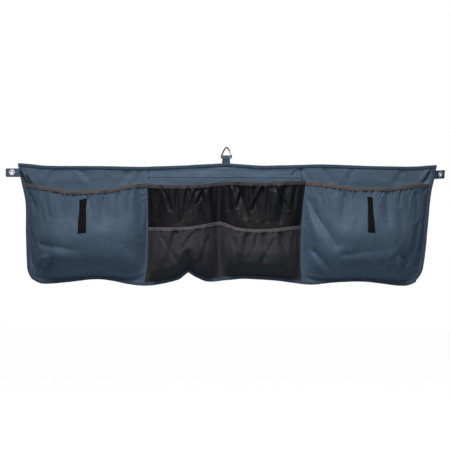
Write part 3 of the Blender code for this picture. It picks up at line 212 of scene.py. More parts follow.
# Painted shade along deep creases of the header, most of them at its corners: start x and z, end x
# and z, half width, strength
PAINTED_CREASE_SHADE = (
    (-0.6925, -0.0150, -0.6626, -0.0700, 0.0085, 1.00),
    (-0.6723, -0.0280, -0.6510, -0.0700, 0.0110, 0.85),
    (0.7080, -0.0060, 0.6700, -0.0600, 0.0045, 0.45),
    (0.2355, -0.0160, 0.2200, -0.0600, 0.0050, 0.50),
    (0.2545, -0.0130, 0.2620, -0.0560, 0.0050, 0.35),
)

# Stitched lines on the header in mm: start x and z, end x and z
HEADER_LINES = thousandths(
    (-254, -19, 244, -19), (-254, -40.8, 240, -43.6), (-264.6, -13, -264, -60),
    (-261, -13, -260.4, -60),
)
BARTACKS = thousandths((-258.6, -17.9), (255.2, -12), (-257.5, -42), (247, -44))
HEADER_FROM, HEADER_TO, HEADER_LOW = -0.256, 0.242, -0.062
BAND_TOP, BAND_LOW = -0.019, -0.042

# Stitches in mm: distance from one to the next, length, width
TAPE_STITCH, ELASTIC_STITCH, SEAM_STITCH, STRIP_STITCH = thousandths(
    (3.4, 2.5, 0.6), (3.0, 2.2, 0.6), (3.6, 2.6, 0.6), (2.8, 2.1, 0.5),
)
TAB_STITCH, LOOP_STITCH, LOOP_TACK, BARTACK = thousandths(
    (3.0, 2.2, 0.5), (1.6, 1.3, 0.4), (1.6, 1.4, 0.5), (1.2, 4.0, 0.6),
)

# Ribbed strips in mm: corners as (x, z), from the upper left one clockwise
LEFT_STRIP = thousandths((-489.5, -116.3), (-464, -109.9), (-465.8, -226.4), (-494.3, -228.8))
RIGHT_STRIP = thousandths((477.6, -104.8), (496.4, -107.5), (503.6, -226.4), (479, -224.4))
STRIP_CLOTH = 0.0011

# Hanging tabs and eyelets
LEFT_TAB_TOP = -0.0086
RIGHT_TAB_TOP = -0.0158
TAB_HEIGHT = 0.0289
TAB_LENGTH = 0.0455
TAB_CLOTH = 0.0018
TAB_CORNER = 0.0030
TAB_ROOT = 0.0062
RIGHT_TAB_TURN = math.radians(43.0)
EYELET_FROM_END = 0.0205
EYELET_RADIUS = 0.0107
EYELET_HOLE = 0.0039
EYELET_WALL = 0.0008
EYELET_CROWN = 0.0012
CURL_RADIUS = 0.0064
CURL_HEIGHT = 0.0008
WASHER_WALL = 0.0005
BITE = 0.0006

# Hanger loop
LOOP_WIDTH = 0.0280
LOOP_TOP_WIDTH = 0.0250
LOOP_CLOTH = 0.0012
LOOP_REACH = 0.0166
LOOP_TAIL = 0.0068
ROD_RADIUS = 0.00225
BAR_RADIUS = 0.0020
# How far the loop's stiff ribbon stands over the middle of the carabiner's bar
EYE_RISE = 0.0046
# The loop's section beside the bar, as (y, z) from its fold
LOOP_FRONT = [(-0.0006, 0.0040), (-0.0009, 0.0065), (-0.0014, 0.0095), (-0.0023, 0.0125)]
LOOP_BACK = [
    (0.0023, 0.0125), (0.0014, 0.0095), (0.0008, 0.0065), (0.0007, 0.0040), (0.0008, 0.0018),
]

# Carabiner, about the middle of the bar that the loop holds
CROSSBAR_HEIGHT = 0.0071
PIVOT_X = 0.0162
PIVOT_HEIGHT = 0.0119
NOSE_X = 0.0115
NOSE_HEIGHT = 0.0248
TANG_THICKNESS = 0.0015
TANG_RADIUS = 0.0018
GATE_RADIUS = 0.0019
FORK_DEPTH = 0.0050
RIVET_RADIUS = 0.00055
RIVET_HEAD = 0.0011
RIVET_CLEAR = 0.0001
HOOP = thousandths(
    (18, 5.2), (16.6, 1.4), (13.2, 0), (0, 0), (-12.8, 0), (-15.5, 1.4), (-16.1, 4.8), (-14.7, 10),
    (-10.5, 19.4), (-5.4, 28.8), (0.7, 35.9), (6.4, 31.5),
)

# Stage
VIEW_WIDTH = 1.521
FLOOR_Z = -1.02
ROOM_LIGHT = 0.112
LAMPS = (
    ("Upper lamp", (-0.4, -1.6, 2.5), (1.5, 0.7), 18.6),
    ("Front lamp", (0.5, -4.2, 0.8), (1.6, 1.0), 4.0),
    ("Back lamp", (0.4, 3.0, 2.2), (3.0, 1.6), 16.0),
)
LAMP_SPREAD = math.radians(75)
SENSOR = 36.0
FARTHEST = 60.0
FLOOR_SIZE = 24.0
LOOK_AT_Z = -0.2004
LAMPS_AT_Z = -0.2
# Colour of the floor as light sees it and as the camera does, and the light that it gives then
FLOOR_COLOURS = (0.38, 0.47, 0.57), (0.60, 0.60, 0.60)
FLOOR_LIGHT = 0.88

# What the operators share: materials by key, settled cloths by side, model stitches by size
FINISHES = {}
SHAPES = {}
MODEL_STITCH = {}


def curve(points):
    """A smooth function of an array, through (position, value) points."""
    places = np.array([p[0] for p in points], float)
    values = np.array([p[1] for p in points], float)
    last = len(points) - 1
    before = np.maximum(np.arange(last + 1) - 1, 0)
    after = np.minimum(np.arange(last + 1) + 1, last)
    slopes = (values[after] - values[before]) / (places[after] - places[before])

    def value_at(place):
        place = np.clip(np.asarray(place, float), places[0], places[-1])
        i = np.clip(np.searchsorted(places, place, side="left") - 1, 0, last - 1)
        step = places[i + 1] - places[i]
        t = (place - places[i]) / step
        return (
            values[i] * (1 + 2 * t) * (1 - t) ** 2
            + slopes[i] * step * t * (1 - t) ** 2
            + values[i + 1] * t * t * (3 - 2 * t)
            + slopes[i + 1] * step * t * t * (t - 1)
        )

    return value_at


def mix(a, b, t):
    return a + (b - a) * t


def ease(t):
    t = np.clip(t, 0.0, 1.0)
    return t * t * (3 - 2 * t)

def unit(vectors):
    """The same directions with a length of one."""
    return vectors / np.maximum(np.linalg.norm(vectors, axis=-1, keepdims=True), 1e-12)


def distances(points, axis=0):
    """Distances from the start along one axis of points, as a mean over the other."""
    steps = np.linalg.norm(np.diff(points, axis=axis), axis=-1)
    if steps.ndim > 1:
        steps = steps.mean(axis=1 - axis)
    return np.concatenate(((0.0,), np.cumsum(steps)))


def resample(path, places, values=None):
    """Points of a path, or values that go with them, at distances from its start."""
    columns, lengths = (path if values is None else values).T, distances(path)
    return np.stack([np.interp(places, lengths, column) for column in columns], axis=-1)


def even_steps(path, step):
    """The same path with its points evenly spaced."""
    length = distances(path)[-1]
    return resample(path, np.linspace(0, length, int(length / step) + 1))


def share_grid(rows, columns, top=0.0, bottom=1.0):
    """Shares down and across a grid of points."""
    return np.meshgrid(
        np.linspace(top, bottom, rows + 1), np.linspace(0, 1, columns + 1), indexing="ij",
    )


top_height = curve(TOP_EDGE)
bottom_rise = curve(BOTTOM_EDGE)
left_taper = curve(LEFT_TAPER)
right_taper = curve(RIGHT_TAPER)
left_drift = curve(LEFT_SEAM_DRIFT)
right_drift = curve(RIGHT_SEAM_DRIFT)
divider_drift = curve(DIVIDER_DRIFT)
left_mouth = curve(LEFT_MOUTH)
right_mouth = curve(RIGHT_MOUTH)
upper_mouth = curve(UPPER_MOUTH)
lower_mouth = curve(LOWER_MOUTH)
LEFT_SEAM_START = -float(left_mouth(1.0))
RIGHT_SEAM_START = -float(right_mouth(0.0))


def top_z(x):
    return top_height((x + LEFT_REACH) / BODY_WIDTH)


def corner_rise(distance):
    """How far a round corner of unit radius stands off its side, at a share of the radius."""
    reach = np.clip(distance, 0.0, math.sin(math.pi / 4))
    return 1 - np.sqrt(1 - reach * reach)


def left_x(z):
    turn = (-BODY_DROP + LEFT_CORNER_HEIGHT - z) / LEFT_CORNER_HEIGHT
    return -LEFT_REACH + left_taper(-z / BODY_DROP) + LEFT_CORNER_WIDTH * corner_rise(turn)


def right_x(z):
    turn = (-BODY_DROP + RIGHT_CORNER_HEIGHT - z) / RIGHT_CORNER_HEIGHT
    return RIGHT_REACH - right_taper(-z / BODY_DROP) - RIGHT_CORNER_WIDTH * corner_rise(turn)


def bottom_z(x):
    left_turn = (left_x(-BODY_DROP / 2) + LEFT_CORNER_WIDTH - x) / LEFT_CORNER_WIDTH
    right_turn = (x - right_x(-0.8 * BODY_DROP) + RIGHT_CORNER_WIDTH) / RIGHT_CORNER_WIDTH
    rise = bottom_rise((x + LEFT_REACH) / BODY_WIDTH)
    rise = rise + LEFT_CORNER_HEIGHT * corner_rise(left_turn)
    rise = rise + RIGHT_CORNER_HEIGHT * corner_rise(right_turn)
    return -BODY_DROP + rise


def corner_point(side_x, height):
    """Where a side edge and the bottom edge meet, half way round the body's corner."""
    x = float(side_x(-BODY_DROP + height * float(corner_rise(1.0))))
    return np.array((x, float(bottom_z(x))))


LEFT_CORNER = corner_point(left_x, LEFT_CORNER_HEIGHT)
RIGHT_CORNER = corner_point(right_x, RIGHT_CORNER_HEIGHT)


def flat_points(x, z):
    return np.stack(np.broadcast_arrays(x, z), axis=-1).astype(float)


def side_edge(side_x, corner, start_z):
    """A side edge from a height down to the body's corner, as a function of a share."""

    def at(t):
        z = mix(start_z, corner[1], t)
        return flat_points(side_x(z), z)

    return at


def bottom_edge(start_x, end_x):
    def at(t):
        x = mix(start_x, end_x, t)
        return flat_points(x, bottom_z(x))

    return at


def seam_edge(base, drift, mouth_z, start_z):
    """A seam from a height down to the bottom edge."""

    def x_at(z):
        return base + drift((mouth_z - z) / (mouth_z + BODY_DROP))

    foot_z = -BODY_DROP
    for _ in range(4):
        foot_z = float(bottom_z(x_at(foot_z)))

    def at(t):
        z = mix(start_z, foot_z, t)
        return flat_points(x_at(z), z)

    return at


def mouth_edge(mouth, start_x, end_x):
    def at(t):
        return flat_points(mix(start_x, end_x, t), -mouth(t))

    return at


def patch(left, right, top, bottom, u, v):
    """Points of the front plane spanned between four edges, each a function of a share."""
    sides = mix(left(v), right(v), u[..., None])
    ends = mix(top(u), bottom(u), v[..., None])
    corners = [edge(np.array(share)) for share in (0.0, 1.0) for edge in (left, right)]
    upper = mix(corners[0], corners[1], u[..., None])
    lower = mix(corners[2], corners[3], u[..., None])
    return sides + ends - mix(upper, lower, v[..., None])


def bulge(across, down, mouth_share):
    """How far a filled pocket stands out, from 0 at its seams to 1 at its belly."""
    side = 1 - np.abs(2 * across - 1) ** 3.2
    upper = mix(mouth_share, 1.0, np.sin(math.pi / 2 * np.minimum(down / BELLY, 1.0)))
    low = np.clip((down - BELLY) / (1 - BELLY), 0.0, 1.0)
    lower = (1 - low ** 2.6) ** 1.2
    return side * np.where(down < BELLY, upper, lower)


def fold_depth(folds, x, z):
    """The depth of the folds at places on the front: each has a crease, a bank on its one side and
    ends that fade out. One of negative depth is a ridge."""
    total = np.zeros_like(x)
    for start_x, start_z, end_x, end_z, depth, half_width in folds:
        run = np.array((end_x - start_x, end_z - start_z))
        length = np.linalg.norm(run)
        along = ((x - start_x) * run[0] + (z - start_z) * run[1]) / length
        across = ((x - start_x) * run[1] - (z - start_z) * run[0]) / length
        past = np.maximum(np.maximum(-along, along - length), 0.0) / half_width
        share = np.clip(along / length, 0.0, 1.0)
        fade = np.exp(-past ** 2) * (1 - 0.5 * share ** 2)
        place = across / (half_width * (0.8 + 0.4 * share))
        crease = np.exp(-np.abs(place) ** 1.5)
        bank = np.exp(-((place - 1.9) / 1.1) ** 2) * 0.45
        total += depth * fade * (crease - bank)
    return total


def gathers(seed, run, down, spacing=0.020, deepest=0.0115):
    """How far narrow pleats draw a cloth in below its gathered edge."""
    chance = np.random.RandomState(seed)
    total = np.zeros_like(run)
    place = 0.006
    while place < run.max():
        depth = deepest * chance.uniform(0.35, 1.0)
        fall, lean = chance.uniform(0.008, 0.021), chance.uniform(-0.30, 0.30)
        width = chance.uniform(0.0022, 0.0038) + 0.10 * down
        off = (run - place - lean * down) / width
        total += depth * np.exp(-down / fall) * np.exp(-np.abs(off) ** 1.2)
        place += spacing * chance.uniform(0.45, 1.5)
    return total


class Ripples:
    """Smooth, repeatable unevenness over a plane, as layers of a lattice of random heights."""

    def __init__(self, seed):
        self.heights = np.random.RandomState(seed).uniform(-1.0, 1.0, (64, 64))

    def at(self, a, b):
        a, b = np.broadcast_arrays(np.asarray(a, float), np.asarray(b, float))
        i, j = np.floor(a).astype(int), np.floor(b).astype(int)
        s, t = ease(a - i), ease(b - j)
        take = self.heights
        upper = mix(take[i % 64, j % 64], take[(i + 1) % 64, j % 64], s)
        lower = mix(take[i % 64, (j + 1) % 64], take[(i + 1) % 64, (j + 1) % 64], s)
        return mix(upper, lower, t)

    def layered(self, a, b, layers=3):
        total, strength = 0.0, 1.0
        for k in range(layers):
            total = total + strength * self.at(a * 2 ** k + 7.3 * k, b * 2 ** k + 3.1 * k)
            strength *= 0.5
        return total


def mode(name):
    bpy.ops.object.mode_set(mode=name)


def select_only(*objects):
    if bpy.context.mode != "OBJECT":
        mode("OBJECT")
    bpy.ops.object.select_all(action="DESELECT")
    for obj in objects:
        obj.select_set(True)
    if objects:
        bpy.context.view_layer.objects.active = objects[0]


def named(obj, name):
    obj.name = obj.data.name = name
    return obj


def apply_place():
    bpy.ops.object.transform_apply(location=True, rotation=True, scale=True)


def weld():
    """Joins doubled points, turns the faces outwards and leaves edit mode."""
    bpy.ops.mesh.select_all(action="SELECT")
    bpy.ops.mesh.remove_doubles(threshold=0.000004)
    bpy.ops.mesh.normals_make_consistent(inside=False)
    mode("OBJECT")


def apply_modifiers(obj):
    select_only(obj)
    for modifier in list(obj.modifiers):
        bpy.ops.object.modifier_apply(modifier=modifier.name)


def settle(obj, degrees=40):
    """Puts the place of a finished piece into its mesh and shades it."""
    select_only(obj)
    apply_place()
    bpy.ops.object.shade_smooth_by_angle(angle=math.radians(degrees))


def read_points(obj):
    points = np.empty(len(obj.data.vertices) * 3)
    obj.data.vertices.foreach_get("co", points)
    return points.reshape(-1, 3)


def write_points(obj, points):
    obj.data.vertices.foreach_set("co", np.ascontiguousarray(points, float).ravel())
    obj.data.update()


class Cloth:
    """Rows of points of one cloth, from its upper edge down, with the direction that it faces."""

    def __init__(self, points):
        self.points = points
        self.rows, self.columns = points.shape[0] - 1, points.shape[1] - 1
        self.normals = unit(np.cross(np.gradient(points, axis=0), np.gradient(points, axis=1)))
        self.run, self.drop = distances(points, 1), distances(points)

    def at(self, u, v):
        """Points and facing directions at shares across and down."""
        u, v = np.broadcast_arrays(np.asarray(u, float), np.asarray(v, float))
        a, b = np.clip(u, 0, 1) * self.columns, np.clip(v, 0, 1) * self.rows
        i = np.minimum(a.astype(int), self.columns - 1)
        j = np.minimum(b.astype(int), self.rows - 1)
        s, t = (a - i)[..., None], (b - j)[..., None]
        found = []
        for grid in (self.points, self.normals):
            upper = mix(grid[j, i], grid[j, i + 1], s)
            lower = mix(grid[j + 1, i], grid[j + 1, i + 1], s)
            found.append(mix(upper, lower, t))
        return found[0], unit(found[1])

    def stitched(self, u, v, lift, facing=-1):
        """Places and directions of stitches at shares across and down, on the side that faces the
        front or, with a facing of 1, the back."""
        point, out = self.at(u, v)
        out = out * np.sign(facing * out[:, 1:2])
        return point + out * lift, out

    def locate(self, x, z):
        """Shares across and down of places on the front plane."""
        u, v = np.full(np.shape(x), 0.5), np.full(np.shape(x), 0.5)
        wide = self.points[:, -1, 0].mean() - self.points[:, 0, 0].mean()
        high = self.points[0, :, 2].mean() - self.points[-1, :, 2].mean()
        for _ in range(30):
            point = self.at(u, v)[0]
            u = np.clip(u + (x - point[..., 0]) / wide, 0, 1)
            v = np.clip(v + (point[..., 2] - z) / high, 0, 1)
        return u, v


def make_sheet(name, points, thickness=None, uv=None):
    """A sheet of cloth through rows of points, shaped from a plain grid."""
    rows, columns = points.shape[0] - 1, points.shape[1] - 1
    select_only()
    bpy.ops.mesh.primitive_grid_add(
        x_subdivisions=columns, y_subdivisions=rows, size=1.0, calc_uvs=True,
    )
    obj = named(bpy.context.active_object, name)
    flat = read_points(obj)
    i = np.rint((flat[:, 0] + 0.5) * columns).astype(int)
    j = np.rint((0.5 - flat[:, 1]) * rows).astype(int)
    write_points(obj, points[j, i])
    if uv is None:
        cloth = Cloth(points)
        uv = (cloth.run, cloth.drop)
    corners = np.empty(len(obj.data.loops), int)
    obj.data.loops.foreach_get("vertex_index", corners)
    layer = obj.data.uv_layers[0]
    layer.name = "Cloth"
    places = np.stack((uv[0][i], uv[1][j]), axis=-1)[corners]
    layer.uv.foreach_set("vector", places.ravel().astype(np.float32))
    if thickness:
        wall = obj.modifiers.new("Wall", "SOLIDIFY")
        wall.thickness = thickness
        wall.offset = 0.0
        apply_modifiers(obj)
    obj.data.shade_smooth()
    return obj


def dress(obj, finish, slot, body=None, *nodes):
    """Gives a piece its finish and the body that it rides on, and hides the CAD objects that it
    stands for. Its slot in the record is not used. One without a body is attached to none."""
    obj.data.materials.clear()
    obj.data.materials.append(FINISHES[finish])
    if body:
        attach(obj, body)
    if nodes:
        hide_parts(*nodes)
    return obj


class Value:
    """A shader socket that can be used in Python expressions."""

    def __init__(self, finish, socket):
        self.finish = finish
        self.socket = socket

    def maths(self, operation, *others):
        inputs = dict(enumerate((self, *others)))
        return self.finish.add("ShaderNodeMath", {"operation": operation}, inputs)

    def __rsub__(self, other):
        return self.finish.add("ShaderNodeMath", {"operation": "SUBTRACT"}, {0: other, 1: self})

    def sine(self):
        return self.maths("SINE")

    def step(self, low, high):
        """0 below low, 1 above high, smooth between them."""
        return self.finish.add(
            "ShaderNodeMapRange", {"interpolation_type": "SMOOTHSTEP"},
            {"Value": self, "From Min": low, "From Max": high},
        )


def maths_method(operation):
    return lambda value, *others: value.maths(operation, *others)


for names, operation in (
    (("__add__", "__radd__"), "ADD"), (("__sub__",), "SUBTRACT"), (("__truediv__",), "DIVIDE"),
    (("__mul__", "__rmul__"), "MULTIPLY"), (("__pow__",), "POWER"), (("__abs__",), "ABSOLUTE"),
):
    for method in names:
        setattr(Value, method, maths_method(operation))


class Finish:
    """One material and the nodes that make it."""

    def __init__(self, name, material=None):
        self.material = material or bpy.data.materials.new(name)
        self.material.use_nodes = True
        self.tree = self.material.node_tree
        self.shader = self.tree.nodes["Principled BSDF"]

    def shader_input(self, name):
        """What already feeds a socket of the shader."""
        return Value(self, self.shader.inputs[name].links[0].from_socket)

    def add(self, kind, settings=None, inputs=None, output=0):
        node = self.tree.nodes.new(kind)
        for key, value in (settings or {}).items():
            setattr(node, key, value)
        for key, value in (inputs or {}).items():
            if isinstance(value, Value):
                self.tree.links.new(value.socket, node.inputs[key])
            else:
                node.inputs[key].default_value = value
        return Value(self, node.outputs[output])

    def colour(self, factor, first, second):
        first, second = (c if isinstance(c, Value) else (*c, 1.0) for c in (first, second))
        return self.add("ShaderNodeMix", {"data_type": "RGBA"}, {0: factor, 6: first, 7: second}, 2)

    def axes(self, vector):
        node = self.add("ShaderNodeSeparateXYZ", inputs={"Vector": vector})
        return [Value(self, output) for output in node.socket.node.outputs]

    def cloth_axes(self):
        """Distances along and down the cloth, in metres."""
        return self.axes(self.add("ShaderNodeTexCoord", output=2))[:2]

    def place(self):
        return self.add("ShaderNodeTexCoord", output=3)

    def stretched(self, vector, factors):
        """The same place with each axis multiplied."""
        return self.add("ShaderNodeVectorMath", {"operation": "MULTIPLY"}, {0: vector, 1: factors})

    def noise(self, vector, size, detail=2.0, roughness=0.5):
        return self.add(
            "ShaderNodeTexNoise", None,
            {"Vector": vector, "Scale": 1.0 / size, "Detail": detail, "Roughness": roughness},
        )

    def bump(self, height, depth, below=None):
        inputs = {"Height": height, "Strength": 1.0, "Distance": depth}
        if below is not None:
            inputs["Normal"] = below
        return self.add("ShaderNodeBump", None, inputs)

    def set(self, **sockets):
        for key, value in sockets.items():
            socket = self.shader.inputs[key.replace("_", " ")]
            if isinstance(value, Value):
                self.tree.links.new(value.socket, socket)
            else:
                socket.default_value = value
        return self.material


def shade(colour, factor):
    return tuple(c * factor for c in colour)


def woven_finish(name, colour, pitch, roughness, mottle=0.10, gloss=0.16, sheen=0.0):
    """Plain woven cloth: crossing threads, slightly uneven in colour, with soft dents."""
    finish = Finish(name)
    u, v = finish.cloth_axes()
    place = finish.place()
    weave = (u * (math.pi / pitch)).sine() * (v * (math.pi / pitch)).sine()
    threads = abs(weave)
    slub = finish.noise(place, pitch * 9, 1.0)
    cloudy = finish.noise(place, 0.045, 3.0, 0.6)
    specks = finish.noise(place, 0.006, 2.0)
    tone = (cloudy - 0.5) * mottle * 2.0 + (specks - 0.5) * mottle + (threads - 0.4) * 0.16
    tint = finish.colour((tone + 0.5).step(0.0, 1.0), shade(colour, 0.72), shade(colour, 1.28))
    relief = finish.bump(weave * 0.5 + slub * 0.6, 0.00012)
    normal = finish.bump(finish.noise(place, 0.016, 2.0), 0.0006, relief)
    return finish.set(
        Base_Color=tint, Roughness=(specks - 0.5) * 0.12 + (1 - threads) * 0.06 + roughness,
        Normal=normal, Specular_IOR_Level=gloss, Sheen_Weight=sheen, Sheen_Roughness=0.5,
    )


def paint_crease_shade(finish, x, z, tint, colour):
    """Paints shade into the colour along the deep creases at the header's corners, where little
    light gets in.
    """
    for x0, z0, x1, z1, half, share in PAINTED_CREASE_SHADE:
        off = abs(x - x0 - (z - z0) * ((x1 - x0) / (z1 - z0)))
        inside = (z - z1).step(0.0, 0.006) * (1 - (z - z0).step(-0.006, 0.0))
        # Painted shade: each crease is blended towards a nearly black copy of the colour.
        tint = finish.colour((1 - off.step(0.0, half)) * inside * share, tint, shade(colour, 0.05))
    return tint


def header_finish(name, colour, pitch, roughness, gloss, sheen):
    """Woven cloth of the back, pressed in along the stitched lines of its header, with painted
    shade in those lines, a painted highlight on its raised seam and band, and painted shade in its
    corner creases.
    """
    woven_finish(name, colour, pitch, roughness, gloss=gloss, sheen=sheen)
    finish = Finish(name, bpy.data.materials[name])
    x, _, z = finish.axes(finish.place())
    between = (x - HEADER_FROM).step(0.0, 0.003) * (1 - (x - HEADER_TO).step(0.0, 0.003))
    lines = 0.0
    for x0, z0, x1, z1 in HEADER_LINES[:2]:
        level = z - z0 - (x - x0) * ((z1 - z0) / (x1 - x0))
        lines = (1 - abs(level).step(0.0006, 0.0030)) * between + lines
    high = (z - HEADER_LOW).step(0.0, 0.003)
    seam = (1 - abs(x - LEFT_SEAM_X).step(0.0008, 0.0034)) * high
    band = (z - BAND_LOW).step(0.0, 0.003) * (1 - (z - BAND_TOP).step(0.0, 0.003)) * between
    # Painted shade along the pressed-in stitched lines.
    tint = finish.colour(lines * 0.13, finish.shader_input("Base Color"), shade(colour, 0.30))
    # Painted highlight on the raised seam and on the raised band between the stitched lines.
    tint = finish.colour(seam * 0.30 + band * 0.10, tint, shade(colour, 2.2))
    # Painted shade in the corner creases.
    tint = paint_crease_shade(finish, x, z, tint, colour)
    height = seam * 0.6 + band * 0.5 - lines * 0.5
    relief = finish.bump(height, 0.0010, finish.shader_input("Normal"))
    return finish.set(Base_Color=tint, Normal=relief)


def ribbed_finish(name, colour, pitch, roughness, across=False, groove=None, crease_shade=False):
    """A narrow woven tape with fine ribs, with a groove along its middle that is pressed in and
    darkened by painted shade if it has a groove, and painted shade in the header's corner creases
    if crease shade is asked for.
    """
    finish = Finish(name)
    u, v = finish.cloth_axes()
    place = finish.place()
    ribs = ((v if across else u) * (2 * math.pi / pitch)).sine()
    cross = ((u if across else v) * (2 * math.pi / (pitch * 0.55))).sine()
    fuzz = finish.noise(place, 0.0025, 2.0)
    cloudy = finish.noise(place, 0.02, 2.0)
    tone = ribs * 0.14 + cross * 0.06 + (fuzz - 0.5) * 0.35 + (cloudy - 0.5) * 0.30 + 0.5
    tint = finish.colour(tone.step(0.0, 1.0), shade(colour, 0.60), shade(colour, 1.40))
    height = ribs * 0.6 + cross * 0.25 + fuzz * 0.4
    if groove:
        middle, half = groove
        # Painted shade darkens the groove, which the bump below also presses in.
        line = 1 - abs(v - middle).step(half * 0.4, half)
        tint = finish.colour(line * 0.55, tint, shade(colour, 0.35))
        height = height - line * 2.0
    # Painted shade along the header's corner creases, laid over the tape.
    if crease_shade:
        x, _, z = finish.axes(place)
        tint = paint_crease_shade(finish, x, z, tint, colour)
    return finish.set(
        Base_Color=tint, Roughness=(fuzz - 0.5) * 0.15 + roughness,
        Normal=finish.bump(height, 0.00018), Specular_IOR_Level=0.10,
        Sheen_Weight=0.03, Sheen_Roughness=0.4,
    )


def net_finish(name, colour, pitch):
    """Knitted net: threads round small open holes."""
    finish = Finish(name)
    u, v = finish.cloth_axes()
    place = finish.place()
    turn = 2 * math.pi / pitch
    hole = (u * turn).maths("COSINE")
    for side in (-1, 1):
        hole = hole + (u * (0.5 * turn) + v * (side * 0.866 * turn)).maths("COSINE")
    hole = hole / 3.0
    uneven = finish.noise(place, 0.004, 1.0)
    opening = (hole + (uneven - 0.5) * 0.25).step(0.10, 0.28)
    fuzz = finish.noise(place, 0.0012, 2.0)
    tint = finish.colour(fuzz, shade(colour, 0.7), shade(colour, 1.5))
    return finish.set(
        Base_Color=tint, Roughness=0.75, Alpha=1 - opening,
        Normal=finish.bump(hole * -1.0 + fuzz * 0.3, 0.0002), Specular_IOR_Level=0.12,
    )


def thread_finish(name, colour):
    finish = Finish(name)
    place = finish.place()
    x, y, z = finish.axes(place)
    twist = ((x + z * 0.7 + y * 0.4) * (2 * math.pi / 0.0006)).sine()
    fuzz = finish.noise(place, 0.001, 1.0)
    tint = finish.colour(twist * 0.25 + fuzz * 0.5 + 0.1, shade(colour, 0.6), shade(colour, 1.5))
    return finish.set(Base_Color=tint, Roughness=0.6, Normal=finish.bump(twist, 0.00008))


def metal_finish(name, colour, roughness, scale=0.004):
    """Plated or bare metal with fine scratches and a little cloudiness, darker in places at random.
    """
    finish = Finish(name)
    place = finish.place()
    scratches = finish.noise(finish.stretched(place, (1.0, 1.0, 9.0)), scale * 0.25, 3.0, 0.7)
    cloudy = finish.noise(place, scale, 3.0, 0.6)
    tone = (cloudy - 0.5) * 1.4 + (scratches - 0.5) * 0.8 + 0.5
    tint = finish.colour(tone.step(0.0, 1.0), shade(colour, 0.78), shade(colour, 1.10))
    return finish.set(
        Base_Color=tint, Metallic=1.0,
        Roughness=(cloudy - 0.5) * 0.2 + (scratches - 0.5) * 0.15 + roughness,
        Normal=finish.bump(scratches + cloudy * 0.5, 0.00003),
    )


def coated_finish(name, colour, bare):
    """Dark coated metal, worn through to bare metal in a few small spots."""
    finish = Finish(name)
    place = finish.place()
    grain = finish.noise(place, 0.0010, 3.0)
    spots = finish.noise(place, 0.0028, 4.0, 0.65).step(0.70, 0.76)
    tint = finish.colour(grain, shade(colour, 0.7), shade(colour, 1.6))
    tint = finish.colour(spots * 0.7, tint, bare)
    return finish.set(
        Base_Color=tint, Metallic=spots * 0.6, Roughness=(grain - 0.5) * 0.2 + 0.45,
        Normal=finish.bump(grain - spots * 0.6, 0.00004), Specular_IOR_Level=0.2,
    )


def left_seam(start_z):
    return seam_edge(LEFT_SEAM_X, left_drift, MIDDLE_MOUTH_Z, start_z)


def right_seam(start_z):
    return seam_edge(RIGHT_SEAM_X, right_drift, MIDDLE_MOUTH_Z, start_z)


# How much of each unevenness a pocket's cloth has, in metres
BELLY_SWELL = 0.12
GATHER_RIPPLE = 0.0013
MOUTH_LIFT = 0.0015
BROAD_RIPPLE = 0.0024
FOOT_RIPPLE = 0.0022
PUCKER = 0.0020


def pocket_field(shape, size, strips, form, layer, folds, seed, lobe=None):
    """The points of a filled pocket's cloth: its edges flat in the seams, its belly standing out,
    with folds, gathers below its elastic and puckers along its seams."""
    depth, mouth_share = form
    v, u = share_grid(*size)
    flat = patch(*shape, u, v)
    x, z = flat[..., 0], flat[..., 1]
    wide = x[:, -1:] - x[:, :1]
    high = (z[:1, :] - z[-1:, :]) + 1e-9
    s = np.clip((u * wide - strips[0]) / (wide - strips[0] - strips[1]), 0, 1)
    t = np.clip(v * high / (high - EDGE_STRIP), 0, 1)
    if lobe is not None:
        s = lobe(x, z)
    ripples = Ripples(seed)
    full = bulge(s, t, mouth_share) * depth
    stand = np.minimum(1.0, full / (depth / 2))
    full = full + BELLY_SWELL * depth * np.exp(-((t - 0.52) / 0.16) ** 2) * stand
    out = full - fold_depth(folds, x, z) * stand
    run, down = u * wide, v * high
    inside = np.clip(s * (1 - s) * 4, 0, 1)
    under = ease((down - ELASTIC_WIDTH * 0.65) / (ELASTIC_WIDTH * 0.5))
    drawn = gathers(seed, run, np.maximum(down - ELASTIC_WIDTH, 0.0))
    gather = ripples.at(run / 0.012 + 0.35 * ripples.at(x / 0.05, z / 0.05), down / 0.16 + 3)
    lift = GATHER_RIPPLE * gather * np.exp(-down / 0.040) + MOUTH_LIFT * np.exp(-down / 0.06)
    out += (lift - drawn) * under * inside ** 0.4
    out += BROAD_RIPPLE * ripples.layered(x / 0.060 + 5, z / 0.095 + 2, 3) * stand
    free = np.minimum(1, full / 0.006)
    foot = np.exp(-np.clip((high - down) - EDGE_STRIP, 0, None) / 0.018) * (t < 1)
    out += FOOT_RIPPLE * ripples.at(run / 0.009 + 20, z / 0.05) * foot * inside ** 0.3 * free
    side = np.minimum(s, 1 - s) * wide
    ripple = ripples.at(z / 0.010 + 0.8 * side / 0.02, 11 + side / 0.05)
    out += PUCKER * ripple * np.exp(-side / 0.016) * free
    return np.stack((x, layer - np.maximum(out, 0.0), z), axis=-1)


# How a side pocket's cloth settles: spare width in it, more below its mouth, farthest move
SETTLING = (0.003, 0.009, 0.0032)
SETTLE_FRAMES = 20
CLOTH_SETTINGS = {
    "quality": 6, "mass": 0.12, "tension_stiffness": 30, "compression_stiffness": 30,
    "shear_stiffness": 12, "bending_stiffness": 0.08, "air_damping": 2,
    "vertex_group_mass": "Held", "vertex_group_shrink": "Slack", "use_pressure": True,
    "uniform_pressure_force": 0.6,
}


